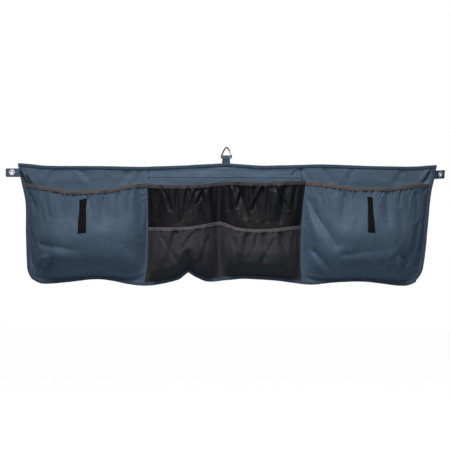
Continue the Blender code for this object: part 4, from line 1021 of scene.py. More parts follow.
def settle_cloth(points, spare, looser, cap):
    """Lets a cloth settle between its seams, with spare width in it and more below its gathered
    mouth, and keeps each point within a distance of where it was."""
    coarse = points[::2, ::2]
    rows, columns = coarse.shape[0] - 1, coarse.shape[1] - 1
    obj = make_sheet("settling", coarse)
    order = np.arange(rows, -1, -1)[:, None] * (columns + 1) + np.arange(columns + 1)
    if np.abs(read_points(obj)[order] - coarse).max() > 1e-5:
        raise RuntimeError("the grid's points aren't in rows")
    drop = distances(coarse)
    pinned = np.zeros(order.shape, bool)
    pinned[:, :2] = pinned[:, -2:] = True
    pinned[-2:] = True
    pinned[drop < ELASTIC_WIDTH * 0.8] = True
    obj.vertex_groups.new(name="Held").add(order[pinned].tolist(), 1.0, "REPLACE")
    slack = obj.vertex_groups.new(name="Slack")
    for row, share in zip(order, np.exp(-np.maximum(drop - ELASTIC_WIDTH, 0) / 0.025)):
        slack.add(row.tolist(), float(share), "REPLACE")
    change = obj.modifiers.new("Cloth", "CLOTH")
    for key, value in CLOTH_SETTINGS.items():
        setattr(change.settings, key, value)
    change.settings.shrink_min, change.settings.shrink_max = -spare, -looser
    change.settings.effector_weights.gravity = 0.3
    change.collision_settings.use_collision = False
    scene = bpy.context.scene
    for frame_number in range(1, SETTLE_FRAMES + 1):
        scene.frame_set(frame_number)
    seen = obj.evaluated_get(bpy.context.evaluated_depsgraph_get())
    shift = read_points(seen)[order] - coarse
    scene.frame_set(1)
    bpy.data.objects.remove(obj, do_unlink=True)
    far = np.linalg.norm(shift, axis=-1, keepdims=True)
    shift *= np.tanh(far / cap) * cap / np.maximum(far, 1e-9)
    v, u = share_grid(points.shape[0] - 1, points.shape[1] - 1)
    return points + Cloth(shift).at(u, v)[0]


def divider_x(z):
    return DIVIDER_X + divider_drift((MIDDLE_MOUTH_Z - z) / (MIDDLE_MOUTH_Z + BODY_DROP))


def middle_lobe(half):
    """Shares across each of two pockets that meet at the seam between them, which is flat."""

    def at(x, z):
        low, high, seam = x[:, :1], x[:, -1:], divider_x(z)
        left = (x - low - SEAM_STRIP) / (seam - half - low - SEAM_STRIP)
        right = (x - seam - half) / (high - SEAM_STRIP - seam - half)
        both = np.where(x < seam, np.clip(left, 0, 1), np.clip(right, 0, 1))
        return np.where(np.abs(x - seam) < half, 0.0, both)

    return at


def folded_band(cloth, start, end, spread, seed):
    """Rows of a folded elastic along the upper edge of a cloth, from its front lip over the edge
    to the lip behind, and the distances along it."""
    u = np.linspace(start, end, int(cloth.run[-1] * (end - start) / BAND_STEP) + 1)
    legs = np.linspace(ELASTIC_WIDTH, 0.0, 7)
    arc = np.linspace(0, math.pi, 7)[1:-1]
    downs = np.concatenate((legs, -np.sin(arc) * spread, legs[::-1]))
    sides = np.concatenate((np.full(7, spread), np.cos(arc) * spread, np.full(7, -spread)))
    total, run = cloth.drop[-1], u * cloth.run[-1]
    ripple = Ripples(seed)
    edge, lip = (cloth.at(u, np.full_like(u, k / total))[0] for k in (0.0, ELASTIC_WIDTH))
    down = unit(lip - edge)
    rows = []
    for a, n in zip(downs, sides):
        point, normal = cloth.at(u, np.full_like(u, max(a, 0.0) / total))
        if a < 0:
            point = edge + down * a
        uneven = ripple.at(run / 0.0032, 5 + a / 0.01) * min(1.0, abs(a) / 0.004)
        rows.append(point + normal * (n + math.copysign(0.00035, n) * uneven)[:, None])
    return np.array(rows), run


def model_stitch(length, width):
    """One stitch, modelled once: a short flattened thread that dips into the cloth at its ends."""
    key = (length, width)
    if key not in MODEL_STITCH:
        select_only()
        bpy.ops.mesh.primitive_uv_sphere_add(segments=6, ring_count=5, radius=0.5)
        obj = bpy.context.active_object
        mode("EDIT")
        bpy.ops.mesh.select_all(action="SELECT")
        bpy.ops.transform.rotate(value=math.pi / 2, orient_axis="Y", center_override=(0, 0, 0))
        bpy.ops.transform.resize(value=(length, width, width * 0.8), center_override=(0, 0, 0))
        mode("OBJECT")
        MODEL_STITCH[key] = read_points(obj), [tuple(face.vertices) for face in obj.data.polygons]
        bpy.data.objects.remove(obj, do_unlink=True)
    return MODEL_STITCH[key]


def sew(name, path, out, stitch, thread, slot, body=BODY):
    """Copies of the model stitch spaced evenly along a path of points, each turned along its
    seam, as one piece."""
    pitch, length, width = stitch
    model, faces = model_stitch(length, width)
    places = np.arange(pitch / 2, distances(path)[-1], pitch)
    points, ahead, behind = (resample(path, places + k * pitch / 4) for k in (0, 1, -1))
    along = unit(ahead - behind)
    out = resample(path, places, out)
    out = unit(out - (out * along).sum(-1, keepdims=True) * along)
    side = np.cross(out, along)
    corners = points[:, None] + sum(
        model[None, :, k:k + 1] * axis[:, None] for k, axis in enumerate((along, side, out))
    )
    mesh = bpy.data.meshes.new(name)
    mesh.from_pydata(
        corners.reshape(-1, 3).tolist(), [],
        [tuple(k * len(model) + c for c in face) for k in range(len(points)) for face in faces],
    )
    mesh.shade_smooth()
    obj = bpy.data.objects.new(name, mesh)
    bpy.context.scene.collection.objects.link(obj)
    return dress(obj, thread, slot, body)


def fine(count):
    return max(6, int(count * (1.0)))


def colour_setting(name, about, default):
    return FloatVectorProperty(
        name=name, description="Colour of " + about, subtype="COLOR", size=3, default=default,
        min=0.0, max=1.0,
    )


def length_setting(name, about, default, low, high, digits):
    return FloatProperty(
        name=name, description=about, subtype="DISTANCE", unit="LENGTH", default=default,
        min=low, max=high, precision=digits,
    )


class OrganizerSettings(bpy.types.PropertyGroup):
    blue: colour_setting("Blue cloth", "the back and the side pockets", (0.066, 0.105, 0.153))
    navy: colour_setting("Tape", "the tapes round the edges", (0.060, 0.092, 0.132))
    black: colour_setting("Black cloth", "the upper middle pockets", (0.0036, 0.0036, 0.0044))
    net: colour_setting("Net", "the net pockets", (0.051, 0.049, 0.051))
    elastic: colour_setting(
        "Side elastic", "the elastic on the side pockets", (0.124, 0.106, 0.106),
    )
    dark_elastic: colour_setting(
        "Middle elastic", "the elastic on the middle pockets", (0.080, 0.073, 0.078),
    )
    strip: colour_setting(
        "Ribbed strip", "the strips on the side pockets", (0.0022, 0.0022, 0.0022),
    )
    nickel: colour_setting("Eyelets", "the plated eyelets", (0.84, 0.79, 0.75))
    weave: length_setting(
        "Weave", "Distance between threads of the cloth", 0.0007, 0.0003, 0.003, 5,
    )
    hole: length_setting(
        "Net hole", "Distance between the holes of the net", 0.0022, 0.001, 0.006, 5,
    )
    distance: length_setting(
        "Distance of the view", "From the camera to the back of the tape", 9.0, 1.0, 20.0, 2,
    )


def settings():
    return bpy.context.scene.organizer_settings


class ORGANIZER_OT_stage(bpy.types.Operator):
    """Adds the camera, the floor, the lamps and the light of the room"""

    bl_idname = "organizer.stage"
    bl_label = "Stage"

    def execute(self, context):
        far = settings().distance
        bpy.ops.object.camera_add(location=(0, -far, LOOK_AT_Z), rotation=(math.pi / 2, 0, 0))
        camera = context.active_object
        camera.name = "Front view"
        camera.data.sensor_width = SENSOR
        camera.data.lens = SENSOR * far / VIEW_WIDTH
        camera.data.clip_end = FARTHEST
        context.scene.camera = camera
        bpy.ops.mesh.primitive_plane_add(size=FLOOR_SIZE, location=(0, 0, FLOOR_Z))
        floor = context.active_object
        floor.name = "Floor"
        floor.data.materials.append(self.pale("Pale floor"))
        for name, place, size, power in LAMPS:
            bpy.ops.object.light_add(type="AREA", location=place)
            lamp = context.active_object
            lamp.name = name
            lamp.data.shape = "RECTANGLE"
            lamp.data.size, lamp.data.size_y = size
            lamp.data.energy = power
            lamp.data.spread = LAMP_SPREAD
            aim = Vector((0, 0, LAMPS_AT_Z)) - Vector(place)
            lamp.rotation_euler = aim.to_track_quat("-Z", "Y").to_euler()
        context.scene.world = self.room("Room")
        context.scene.view_settings.view_transform = "Standard"
        return {"FINISHED"}

    def room(self, name):
        """A dim room that a camera sees as white, and a mirror as nearly a third of that."""
        world = bpy.data.worlds.new(name)
        world.use_nodes = True
        nodes, links = world.node_tree.nodes, world.node_tree.links
        back = nodes["Background"]
        back.inputs["Color"].default_value = (1.0, 1.0, 1.0, 1.0)
        path = nodes.new("ShaderNodeLightPath")
        seen = path.outputs["Is Camera Ray"]
        for ray, share in (("Is Glossy Ray", 0.30), ("Is Transmission Ray", 1.0)):
            either, part = nodes.new("ShaderNodeMath"), nodes.new("ShaderNodeMath")
            either.operation, part.operation = "MAXIMUM", "MULTIPLY"
            part.inputs[1].default_value = share
            links.new(path.outputs[ray], part.inputs[0])
            links.new(seen, either.inputs[0])
            links.new(part.outputs[0], either.inputs[1])
            seen = either.outputs[0]
        level = nodes.new("ShaderNodeMapRange")
        links.new(seen, level.inputs["Value"])
        level.inputs["To Min"].default_value = ROOM_LIGHT
        level.inputs["To Max"].default_value = 1.0
        links.new(level.outputs[0], back.inputs["Strength"])
        return world

    def pale(self, name):
        """A white ground that still takes the object's shadow."""
        finish = Finish(name)
        rays = [finish.add("ShaderNodeLightPath", output=k) for k in (0, 6)]
        seen = rays[0].maths("MAXIMUM", rays[1])
        finish.set(Base_Color=finish.colour(seen, *FLOOR_COLOURS), Roughness=0.8)
        light = {"Color": (1, 1, 1, 1), "Strength": FLOOR_LIGHT}
        glow = finish.add("ShaderNodeEmission", None, light)
        matt = Value(finish, finish.shader.outputs[0])
        both = finish.add("ShaderNodeAddShader", None, {0: matt, 1: glow})
        pick = finish.add("ShaderNodeMixShader", None, {0: seen, 1: matt, 2: both})
        finish.tree.links.new(pick.socket, finish.tree.nodes["Material Output"].inputs[0])
        return finish.material


class ORGANIZER_OT_back_panel(bpy.types.Operator):
    """Adds the back cloth with its soft pleats"""

    bl_idname = "organizer.back_panel"
    bl_label = "Back panel"

    def execute(self, context):
        ripples = Ripples(11)
        v, u = share_grid(fine(100), fine(420))

        def top(t):
            x = mix(-LEFT_REACH, RIGHT_REACH, t)
            return flat_points(x, top_z(x))

        left = side_edge(left_x, LEFT_CORNER, float(top_z(-LEFT_REACH)))
        right = side_edge(right_x, RIGHT_CORNER, float(top_z(RIGHT_REACH)))
        flat = patch(left, right, top, bottom_edge(LEFT_CORNER[0], RIGHT_CORNER[0]), u, v)
        x, z = flat[..., 0], flat[..., 1]
        header = ease((z + 0.072) / 0.02) * ease((top_z(x) - 0.010 - z) / 0.008)
        for inset in (x - left_x(z), right_x(z) - x):
            header = header * ease((inset - 0.011) / 0.010)
        soft = ripples.layered(x / 0.07, z / 0.05, 3) * 0.0016
        behind = ripples.layered(x / 0.10 + 4, z / 0.13, 3) * 0.0012
        edge = np.minimum(np.minimum(u, 1 - u) * BODY_WIDTH, (1 - v) * BODY_DROP)
        inner = ease((edge - 0.012) / 0.03) * ease((-0.06 - z) / 0.03)
        y = PANEL_LAYER + (fold_depth(HEADER_FOLDS, x, z) + soft) * header + behind * inner
        points = np.stack((x, y, z), axis=-1)
        SHAPES["panel"] = Cloth(points)
        cloth = make_sheet("back_cloth", points, PANEL_CLOTH)
        dress(cloth, "header", "blue_cloth", BODY, "back_panel")
        return {"FINISHED"}


def tape_profile(front):
    """A folded tape's section as (distance inside the edge, y), each an array along it."""
    middle_front, middle_back = front - TAPE_WALL / 2, np.full_like(front, -TAPE_WALL / 2)
    radius = (middle_back - middle_front) / 2
    centre = (middle_back + middle_front) / 2
    legs = np.linspace(TAPE_WIDTH, 0.0, 5)
    section = [(np.full_like(front, a), middle_front) for a in legs]
    for angle in np.linspace(0, math.pi, 7)[1:-1]:
        nose = -np.sin(angle) * np.minimum(radius, 0.0016)
        section.append((nose, centre - np.cos(angle) * radius))
    return section + [(np.full_like(front, a), middle_back) for a in legs[::-1]]


def make_tape(name, node, places, inward, front, seed):
    """A folded tape round an edge, with its front leg, nose, back leg and stitches."""
    ripple = Ripples(seed)
    along = distances(places)
    rows = []
    for k, (a, y) in enumerate(tape_profile(front)):
        uneven = 0.00030 * ripple.at(along / 0.0075, 3.0 + k * 0.08)
        uneven += 0.0005 * ripple.at(along / 0.045, 9.0)
        flat = places + inward * (a + uneven * (0.4 + 0.6 * (a < 0.002)))[:, None]
        lift = 0.00018 * ripple.at(along / 0.005, 20 + k * 0.3)
        y = y + (lift if k < 6 else -0.3 * np.abs(lift))
        rows.append(np.stack((flat[:, 0], y, flat[:, 1]), axis=-1))
    rows = np.array(rows)
    obj = make_sheet(name, rows, TAPE_WALL * 0.9, uv=(along, distances(rows)))
    dress(obj, "navy", "navy_tape", BODY, node)
    for label, row, facing in (("_front", rows[1], -1.0), ("_back", rows[-2], 1.0)):
        out = np.zeros_like(row)
        out[:, 1] = facing
        path = row + out * TAPE_WALL * 0.52
        sew(name + "_stitches" + label, path, out, TAPE_STITCH, "navy_thread", "navy_tape")


def inward_of(points):
    ahead = unit(np.gradient(points, axis=0))
    return np.stack((-ahead[:, 1], ahead[:, 0]), axis=-1)


def smoothed(path, times):
    """A path with each point drawn towards its neighbours, and its ends kept."""
    for _ in range(times):
        path[1:-1] = (path[:-2] + 2 * path[1:-1] + path[2:]) / 4
    return path


class ORGANIZER_OT_tapes(bpy.types.Operator):
    """Adds the tape over the top edge and the tape round the sides and the bottom"""

    bl_idname = "organizer.tapes"
    bl_label = "Tapes"

    def execute(self, context):
        step = 0.0032
        x = np.linspace(RIGHT_REACH + TAPE_OVER, -LEFT_REACH - TAPE_OVER, 900)
        top = even_steps(flat_points(x, top_z(x)), step)
        front = np.full(len(top), BARE_FRONT)
        make_tape("top_tape", "top_binding", top, inward_of(top), front, 21)
        start = [float(top_z(x)) - TAPE_WIDTH - 0.0002 for x in (-LEFT_REACH, RIGHT_REACH)]
        t = np.linspace(0, 1, 500)
        left = side_edge(left_x, LEFT_CORNER, start[0])(t)
        right = side_edge(right_x, RIGHT_CORNER, start[1])(t)[::-1]
        bottom = bottom_edge(LEFT_CORNER[0], RIGHT_CORNER[0])(np.linspace(0, 1, 1600))
        edge = even_steps(np.concatenate((left, bottom[1:-1], right)), step)
        mouth_z = np.where(edge[:, 0] < 0, LEFT_MOUTH_Z, RIGHT_MOUTH_Z)
        front = mix(SEAM_FRONT, BARE_FRONT, ease((edge[:, 1] - mouth_z) / 0.02))
        inward = unit(smoothed(inward_of(edge), 3))
        make_tape("edge_tape", "edge_binding", edge, inward, front, 22)
        return {"FINISHED"}


def elastic_on(side, cloth, start, end, spread, seed, finish, slot):
    """A fold-over elastic with its puckers and its two rows of stitches."""
    rows, run = folded_band(cloth, start, end, spread, seed)
    width = distances(rows)
    name = side + "_mouth_elastic"
    obj = make_sheet(name, rows, ELASTIC_WALL, uv=(run, width))
    dress(obj, finish, slot, BODY, side + "_mouth_binding")
    facing = unit(np.cross(np.gradient(rows, axis=1), np.gradient(rows, axis=0)))
    for k, label in ((1, "_stitches_lower"), (5, "_stitches_upper")):
        front = facing[k] * np.sign(-facing[k][:, 1:2] + 1e-9)
        path = rows[k] + front * ELASTIC_WALL * 0.55
        sew(name + label, path, front, ELASTIC_STITCH, "dark_thread", slot)


def tucked(edge, inward):
    """A side edge drawn in so that the cloth lies inside its tape."""
    return lambda t: edge(t) + np.array((inward * EDGE_TUCK, 0.0))


def raised(edge):
    """A bottom edge drawn up in the same way."""
    return lambda t: edge(t) + np.array((0.0, EDGE_TUCK))


def end_x(edge, share):
    return float(edge(np.array(share))[0])


def pocket_cloth(name, node, points, wall, finish, slot):
    """A pocket's cloth as a piece, and its shape."""
    obj = make_sheet(name, points, wall)
    dress(obj, finish, slot, BODY, node)
    return Cloth(points)


class ORGANIZER_OT_side_pockets(bpy.types.Operator):
    """Adds the two large side pockets with their elastics"""

    bl_idname = "organizer.side_pockets"
    bl_label = "Side pockets"

    def execute(self, context):
        inner = left_seam(LEFT_SEAM_START)
        shape = (
            tucked(side_edge(left_x, LEFT_CORNER, LEFT_MOUTH_Z), 1), inner,
            mouth_edge(left_mouth, float(left_x(LEFT_MOUTH_Z)), end_x(inner, 0.0)),
            raised(bottom_edge(LEFT_CORNER[0], end_x(inner, 1.0))),
        )
        strips = (EDGE_STRIP, SEAM_STRIP)
        self.make("left", shape, strips, LEFT_FOLDS + LEFT_CREASES, 31, 0.012, 0.996)
        inner = right_seam(RIGHT_SEAM_START)
        shape = (
            inner, tucked(side_edge(right_x, RIGHT_CORNER, RIGHT_MOUTH_Z), -1),
            mouth_edge(right_mouth, end_x(inner, 0.0), float(right_x(RIGHT_MOUTH_Z))),
            raised(bottom_edge(end_x(inner, 1.0), RIGHT_CORNER[0])),
        )
        self.make("right", shape, strips[::-1], RIGHT_FOLDS + RIGHT_CREASES, 32, 0.004, 0.988)
        return {"FINISHED"}

    def make(self, side, shape, strips, folds, seed, low, high):
        size = fine(176), fine(226)
        points = pocket_field(shape, size, strips, SIDE_FORM, POCKET_LAYER, folds, seed)
        points = settle_cloth(points, *SETTLING)
        SHAPES[side] = pocket_cloth(
            side + "_pocket_cloth", side + "_pocket", points, POCKET_CLOTH, "blue", "blue_cloth",
        )
        elastic_on(side, SHAPES[side], low, high, 0.0011, seed + 10, "elastic", "grey_elastic")


class ORGANIZER_OT_middle_pockets(bpy.types.Operator):
    """Adds the two black pockets and the two net pockets in front of them, with their elastics"""

    bl_idname = "organizer.middle_pockets"
    bl_label = "Middle pockets"

    def execute(self, context):
        lobe = middle_lobe(0.006)
        points = pocket_field(
            self.shape(upper_mouth, MIDDLE_MOUTH_Z, MIDDLE_MOUTH_Z), (fine(140), fine(290)),
            (SEAM_STRIP, SEAM_STRIP), UPPER_FORM, POCKET_LAYER, UPPER_FOLDS + UPPER_CREASES, 41,
            lobe,
        )
        back = pocket_cloth(
            "upper_pocket_cloth", "upper_pockets", points, POCKET_CLOTH, "black", "black_cloth",
        )
        elastic_on("upper", back, 0.003, 0.997, 0.0011, 42, "dark_elastic", "black_elastic")
        front = pocket_field(
            self.shape(lower_mouth, -float(lower_mouth(0.0)), -float(lower_mouth(1.0))),
            (fine(96), fine(290)), (SEAM_STRIP - 0.0025, SEAM_STRIP - 0.0025), NET_FORM, NET_LAYER,
            NET_FOLDS + NET_CREASES, 43, lobe,
        )
        behind = back.at(*back.locate(front[..., 0], front[..., 2]))[0][..., 1]
        front[..., 1] = np.minimum(front[..., 1], behind - 0.0012)
        net = pocket_cloth(
            "net_pocket_cloth", "lower_mesh_pockets", front, NET_CLOTH, "net", "black_net",
        )
        elastic_on("lower", net, 0.003, 0.997, 0.0010, 44, "lit_net_elastic", "black_elastic")
        return {"FINISHED"}

    def shape(self, mouth, left_z, right_z):
        """The four edges of a cloth between the two side seams."""
        sides = left_seam(left_z), right_seam(right_z)
        top, foot = ([end_x(edge, share) for edge in sides] for share in (0.0, 1.0))
        return *sides, mouth_edge(mouth, *top), raised(bottom_edge(*foot))


class ORGANIZER_OT_strips(bpy.types.Operator):
    """Adds the ribbed strip on each side pocket"""

    bl_idname = "organizer.strips"
    bl_label = "Ribbed strips"

    def execute(self, context):
        b, a = share_grid(60, 14)
        for side, corners in (("left", LEFT_STRIP), ("right", RIGHT_STRIP)):
            corner = [np.array(c) for c in corners]
            top = mix(corner[0], corner[1], a[..., None])
            bottom = mix(corner[3], corner[2], a[..., None])
            flat = mix(top, bottom, b[..., None])
            waist = 0.0016 * np.sin(math.pi * np.clip(b * 1.6, 0, 1)) * (1 - 2 * a)
            cloth = SHAPES[side]
            point, facing = cloth.at(*cloth.locate(flat[..., 0] + waist, flat[..., 1]))
            lift = 0.0013 + 0.0005 * np.cos(math.pi * (a - 0.5)) * np.sin(math.pi * b) ** 0.5
            points = point + facing * lift[..., None]
            name = side + "_ribbed_strip"
            strip = make_sheet(name, points, STRIP_CLOTH)
            dress(strip, "strip", "ribbed_strip", BODY, side + "_strip")
            shape = Cloth(points)
            flat = (float(shape.run[-1]), float(shape.drop[-1]))
            side + "_pocket_cloth"
            t, whole = np.linspace(0, 1, 200), np.ones(200)
            u, v = (0.07, 0.93), (0.016, 0.984)
            ring_u = np.concatenate((mix(*u, t), u[1] * whole, mix(*u[::-1], t), u[0] * whole))
            ring_v = np.concatenate((v[0] * whole, mix(*v, t), v[1] * whole, mix(*v[::-1], t)))
            path, out = shape.at(ring_u, ring_v)
            path = path + out * 0.0006
            sew(name + "_stitches", path, out, STRIP_STITCH, "dark_thread", "ribbed_strip")
        return {"FINISHED"}


def joint_place(name):
    return Vector(JOINTS[name]["pos_m"])


def lathe(name, profile, segments):
    """A ring turned about the Y axis: a circle extruded and resized from point to point of its
    profile of (radius, y), and closed on itself."""
    select_only()
    radius, y = profile[0]
    bpy.ops.mesh.primitive_circle_add(
        vertices=segments, radius=radius, fill_type="NOTHING", location=(0, y, 0),
        rotation=(math.pi / 2, 0, 0),
    )
    obj = named(bpy.context.active_object, name)
    apply_place()
    mode("EDIT")
    bpy.ops.mesh.select_all(action="SELECT")
    for next_radius, next_y in (*profile[1:], profile[0]):
        bpy.ops.mesh.extrude_region_move(TRANSFORM_OT_translate={"value": (0, next_y - y, 0)})
        share = next_radius / radius
        bpy.ops.transform.resize(value=(share, 1, share), center_override=(0, next_y, 0))
        radius, y = next_radius, next_y
    weld()
    return obj


def cylinder(name, radius, length, matrix, segments=32, bevel=0.0):
    """A rod along its own Z, with softened rims, put in place by a matrix."""
    select_only()
    bpy.ops.mesh.primitive_cylinder_add(vertices=segments, radius=radius, depth=length)
    obj = named(bpy.context.active_object, name)
    if bevel:
        mode("EDIT")
        bpy.ops.mesh.select_mode(type="EDGE")
        bpy.ops.mesh.select_all(action="DESELECT")
        mode("OBJECT")
        for edge in obj.data.edges:
            a, b = (obj.data.vertices[k].co for k in edge.vertices)
            edge.select = abs(a.z - b.z) < 1e-7
        mode("EDIT")
        bpy.ops.mesh.bevel(offset=bevel, segments=3, affect="EDGES")
        mode("OBJECT")
    obj.matrix_world = matrix
    apply_place()
    return obj


def block(size, matrix):
    """A box put in place by a matrix."""
    select_only()
    bpy.ops.mesh.primitive_cube_add(size=1.0)
    obj = bpy.context.active_object
    obj.matrix_world = matrix @ Matrix.Diagonal((*size, 1.0))
    apply_place()
    return obj


def combine(obj, other, operation):
    change = obj.modifiers.new("Combine", "BOOLEAN")
    change.operation = operation
    change.solver = "EXACT"
    change.object = other
    apply_modifiers(obj)
    bpy.data.objects.remove(other, do_unlink=True)
    if not obj.data.polygons:
        raise RuntimeError("nothing is left of " + obj.name)


def place_metal(obj, matrix, degrees, finish, slot, body, node):
    obj.matrix_world = matrix
    settle(obj, degrees)
    dress(obj, finish, slot, body, node)


class ORGANIZER_OT_tabs(bpy.types.Operator):
    """Adds the two hanging tabs with their eyelets and washers"""

    bl_idname = "organizer.tabs"
    bl_label = "Tabs and eyelets"

    def execute(self, context):
        self.make("left", left_x, -1, LEFT_TAB_TOP, 0.0, LEFT_TAB)
        self.make("right", right_x, 1, RIGHT_TAB_TOP, RIGHT_TAB_TURN, RIGHT_TAB)
        return {"FINISHED"}

    def make(self, side, side_x, outward, top, turn, body):
        upper, lower = (Vector((float(side_x(z)), 0, z)) for z in (top, top - TAB_HEIGHT))
        seam = upper - lower
        joint = joint_place(side + "_tab_fold")
        matrix = Matrix.Translation(joint) @ Matrix.Rotation(turn, 4, seam.normalized())
        b, a = share_grid(32, 60, 1.0, -1.0)
        along = mix(-TAB_ROOT, TAB_LENGTH, a)
        half = abs(seam.z) / 2
        past = np.clip((along - TAB_LENGTH + TAB_CORNER) / TAB_CORNER, 0, 1)
        z = b * (half - TAB_CORNER * (1 - np.sqrt(1 - past ** 2)))
        lean = seam.x / seam.z * z * np.clip(1 - along / TAB_LENGTH, 0, 1)
        curl = 0.0006 * np.sin(along * 90) * b ** 2
        puff = 0.00025 * Ripples(51).at(along / 0.006, z / 0.006 + 4)
        points = np.stack((outward * along + lean, curl + puff, z), axis=-1)[:, ::outward]
        tab = make_sheet(side + "_tab_cloth", points, TAB_CLOTH * 0.92)
        centre = Vector((outward * (TAB_LENGTH - EYELET_FROM_END), 0, 0))
        combine(tab, cylinder(
            "hole", EYELET_HOLE + EYELET_WALL + SMALL_GAP, 0.02,
            Matrix.Translation(centre) @ Matrix.Rotation(math.pi / 2, 4, "X"), 40,
        ), "DIFFERENCE")
        soft = tab.modifiers.new("Edge", "BEVEL")
        soft.width = 0.0004
        soft.segments = 2
        soft.limit_method = "ANGLE"
        soft.angle_limit = math.radians(50)
        apply_modifiers(tab)
        tab.matrix_world = matrix
        settle(tab)
        dress(tab, "blue", "blue_cloth", None, side + "_tab")
        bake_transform(tab)
        self.stitch(side, Cloth(points), matrix, body)
        self.eyelet(side, matrix @ Matrix.Translation(centre), body)

    def stitch(self, side, cloth, matrix, body):
        """A line of stitches round the tab, in front and behind."""
        lay = np.array(matrix.to_3x3())
        t, whole = np.linspace(0, 1, 150), np.ones(150)
        root, tip = (0.20, 0.955) if side == "right" else (0.80, 0.045)
        u = np.concatenate((mix(root, tip, t), tip * whole, mix(tip, root, t)))
        v = np.concatenate((0.09 * whole, mix(0.09, 0.91, t), 0.91 * whole))
        for label, facing in (("front", -1), ("back", 1)):
            path, out = cloth.stitched(u, v, TAB_CLOTH * 0.49, facing)
            path, out = path @ lay.T + np.array(matrix.translation), out @ lay.T
            name = side + "_tab_stitches_" + label
            sew(name, path, out, TAB_STITCH, "blue_thread", "blue_cloth", body)

    def eyelet(self, side, matrix, body):
        """The eyelet with its rolled crown, its barrel and its curl, and the washer behind."""
        back = TAB_CLOTH / 2 + SMALL_GAP * 0.4
        front = -back
        barrel = EYELET_HOLE + EYELET_WALL
        inner = barrel - BITE
        middle, half = (inner + EYELET_RADIUS) / 2, (EYELET_RADIUS - inner) / 2
        crown = [
            (middle + half * math.cos(angle), front - EYELET_CROWN * math.sin(angle) ** 0.75)
            for angle in np.linspace(0, math.pi, 13)
        ]
        seat = back + WASHER_WALL
        top = seat + CURL_HEIGHT
        ring = lathe(side + "_eyelet_ring", [
            *crown, (EYELET_HOLE, front + 0.0004), (EYELET_HOLE, seat - 0.0002),
            (EYELET_HOLE + 0.0004, seat + CURL_HEIGHT * 0.7), (barrel, top),
            (CURL_RADIUS - BITE, top), (CURL_RADIUS - 0.0001, seat + CURL_HEIGHT * 0.6),
            (CURL_RADIUS, seat + 0.00005), (barrel, seat + 0.00005), (barrel, front + 0.0001),
        ], 48)
        place_metal(ring, matrix, 50, "nickel", "nickel", body, side + "_eyelet")
        inside = barrel + SMALL_GAP
        washer = lathe(side + "_eyelet_washer", [
            (EYELET_RADIUS, back), (EYELET_RADIUS - 0.0001, back + WASHER_WALL * 0.6),
            (EYELET_RADIUS - BITE, seat),
            (mix(inside, EYELET_RADIUS, 0.6), back + WASHER_WALL * 1.3),
            (inside, seat), (inside, back),
        ], 48)
        place_metal(washer, matrix, 50, "nickel", "nickel", body, side + "_washer")


class ORGANIZER_OT_loop(bpy.types.Operator):
    """Adds the hanger loop, sewn on the top tape and passed round the carabiner's bar"""

    bl_idname = "organizer.loop"
    bl_label = "Hanger loop"

    def execute(self, context):
        fold = joint_place("hanger_loop_fold")
        eye = ROD_RADIUS + SMALL_GAP + LOOP_CLOTH / 2
        path = [(-0.0001, z) for z in np.linspace(-LOOP_TAIL - 0.0013, 0.0010, 8)]
        path += LOOP_FRONT
        for angle in np.linspace(math.radians(200), math.radians(-20), 19):
            rise = EYE_RISE if math.sin(angle) > 0 else eye
            path.append((eye * math.cos(angle), LOOP_REACH + rise * math.sin(angle)))
        path += LOOP_BACK
        path = smoothed(even_steps(np.array(path), 0.0007), 2)
        b, a = np.meshgrid(np.arange(len(path)), np.linspace(-0.5, 0.5, 29), indexing="ij")
        y, z = path[b, 0], path[b, 1]
        width = mix(LOOP_WIDTH, LOOP_TOP_WIDTH, np.clip(z / LOOP_REACH, 0, 1))
        x = a * width * (1 + 0.012 * np.sin(z * 500))
        ahead = np.gradient(path, axis=0)
        outer = unit(np.stack((np.zeros(len(path)), -ahead[:, 1], ahead[:, 0]), axis=-1))
        hem = 0.00022 * (np.abs(a) > 0.40)
        points = np.stack((x, y, z), axis=-1) + outer[b] * hem[..., None]
        points = (points + np.array(fold))[::-1]
        ribbon = make_sheet("hanger_ribbon", points, LOOP_CLOTH * 0.9)
        settle(ribbon)
        dress(ribbon, "ribbon", "blue_cloth", None, "hanger_loop", "loop_tail")
        shape = Cloth(points)
        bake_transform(ribbon)
        tail, whole = np.linspace(0.02, 0.10, 60), np.ones(60)
        for label, across in (("left", 0.08), ("right", 0.92)):
            path, out = shape.stitched(across * whole, 1 - tail, 0.0006)
            sew("hanger_stitches_" + label, path, out, LOOP_STITCH, "dark_thread", "blue_cloth")
        for k, z in enumerate((-0.0022, -0.0062)):
            x = np.linspace(-0.42, 0.42, 40) * LOOP_WIDTH
            place = np.stack(np.broadcast_arrays(fold.x + x, fold.y - 0.0007, fold.z + z), axis=-1)
            out = np.zeros_like(place)
            out[:, 1] = -1
            sew("hanger_bartack_%d" % k, place, out, LOOP_TACK, "dark_thread", "blue_cloth")
        return {"FINISHED"}


def smooth_path(points, count):
    """Points on a smooth curve through chosen points."""
    points = np.array(points, float)
    last = len(points) - 1
    share = np.linspace(0, last, count + 1)
    i = np.minimum(share.astype(int), last - 1)
    t = (share - i)[:, None]
    p = [points[np.clip(i + k, 0, last)] for k in (-1, 0, 1, 2)]
    return p[1] + 0.5 * (
        (p[2] - p[0]) * t + (2 * p[0] - 5 * p[1] + 4 * p[2] - p[3]) * t ** 2
        + (3 * p[1] - p[0] - 3 * p[2] + p[3]) * t ** 3
    )


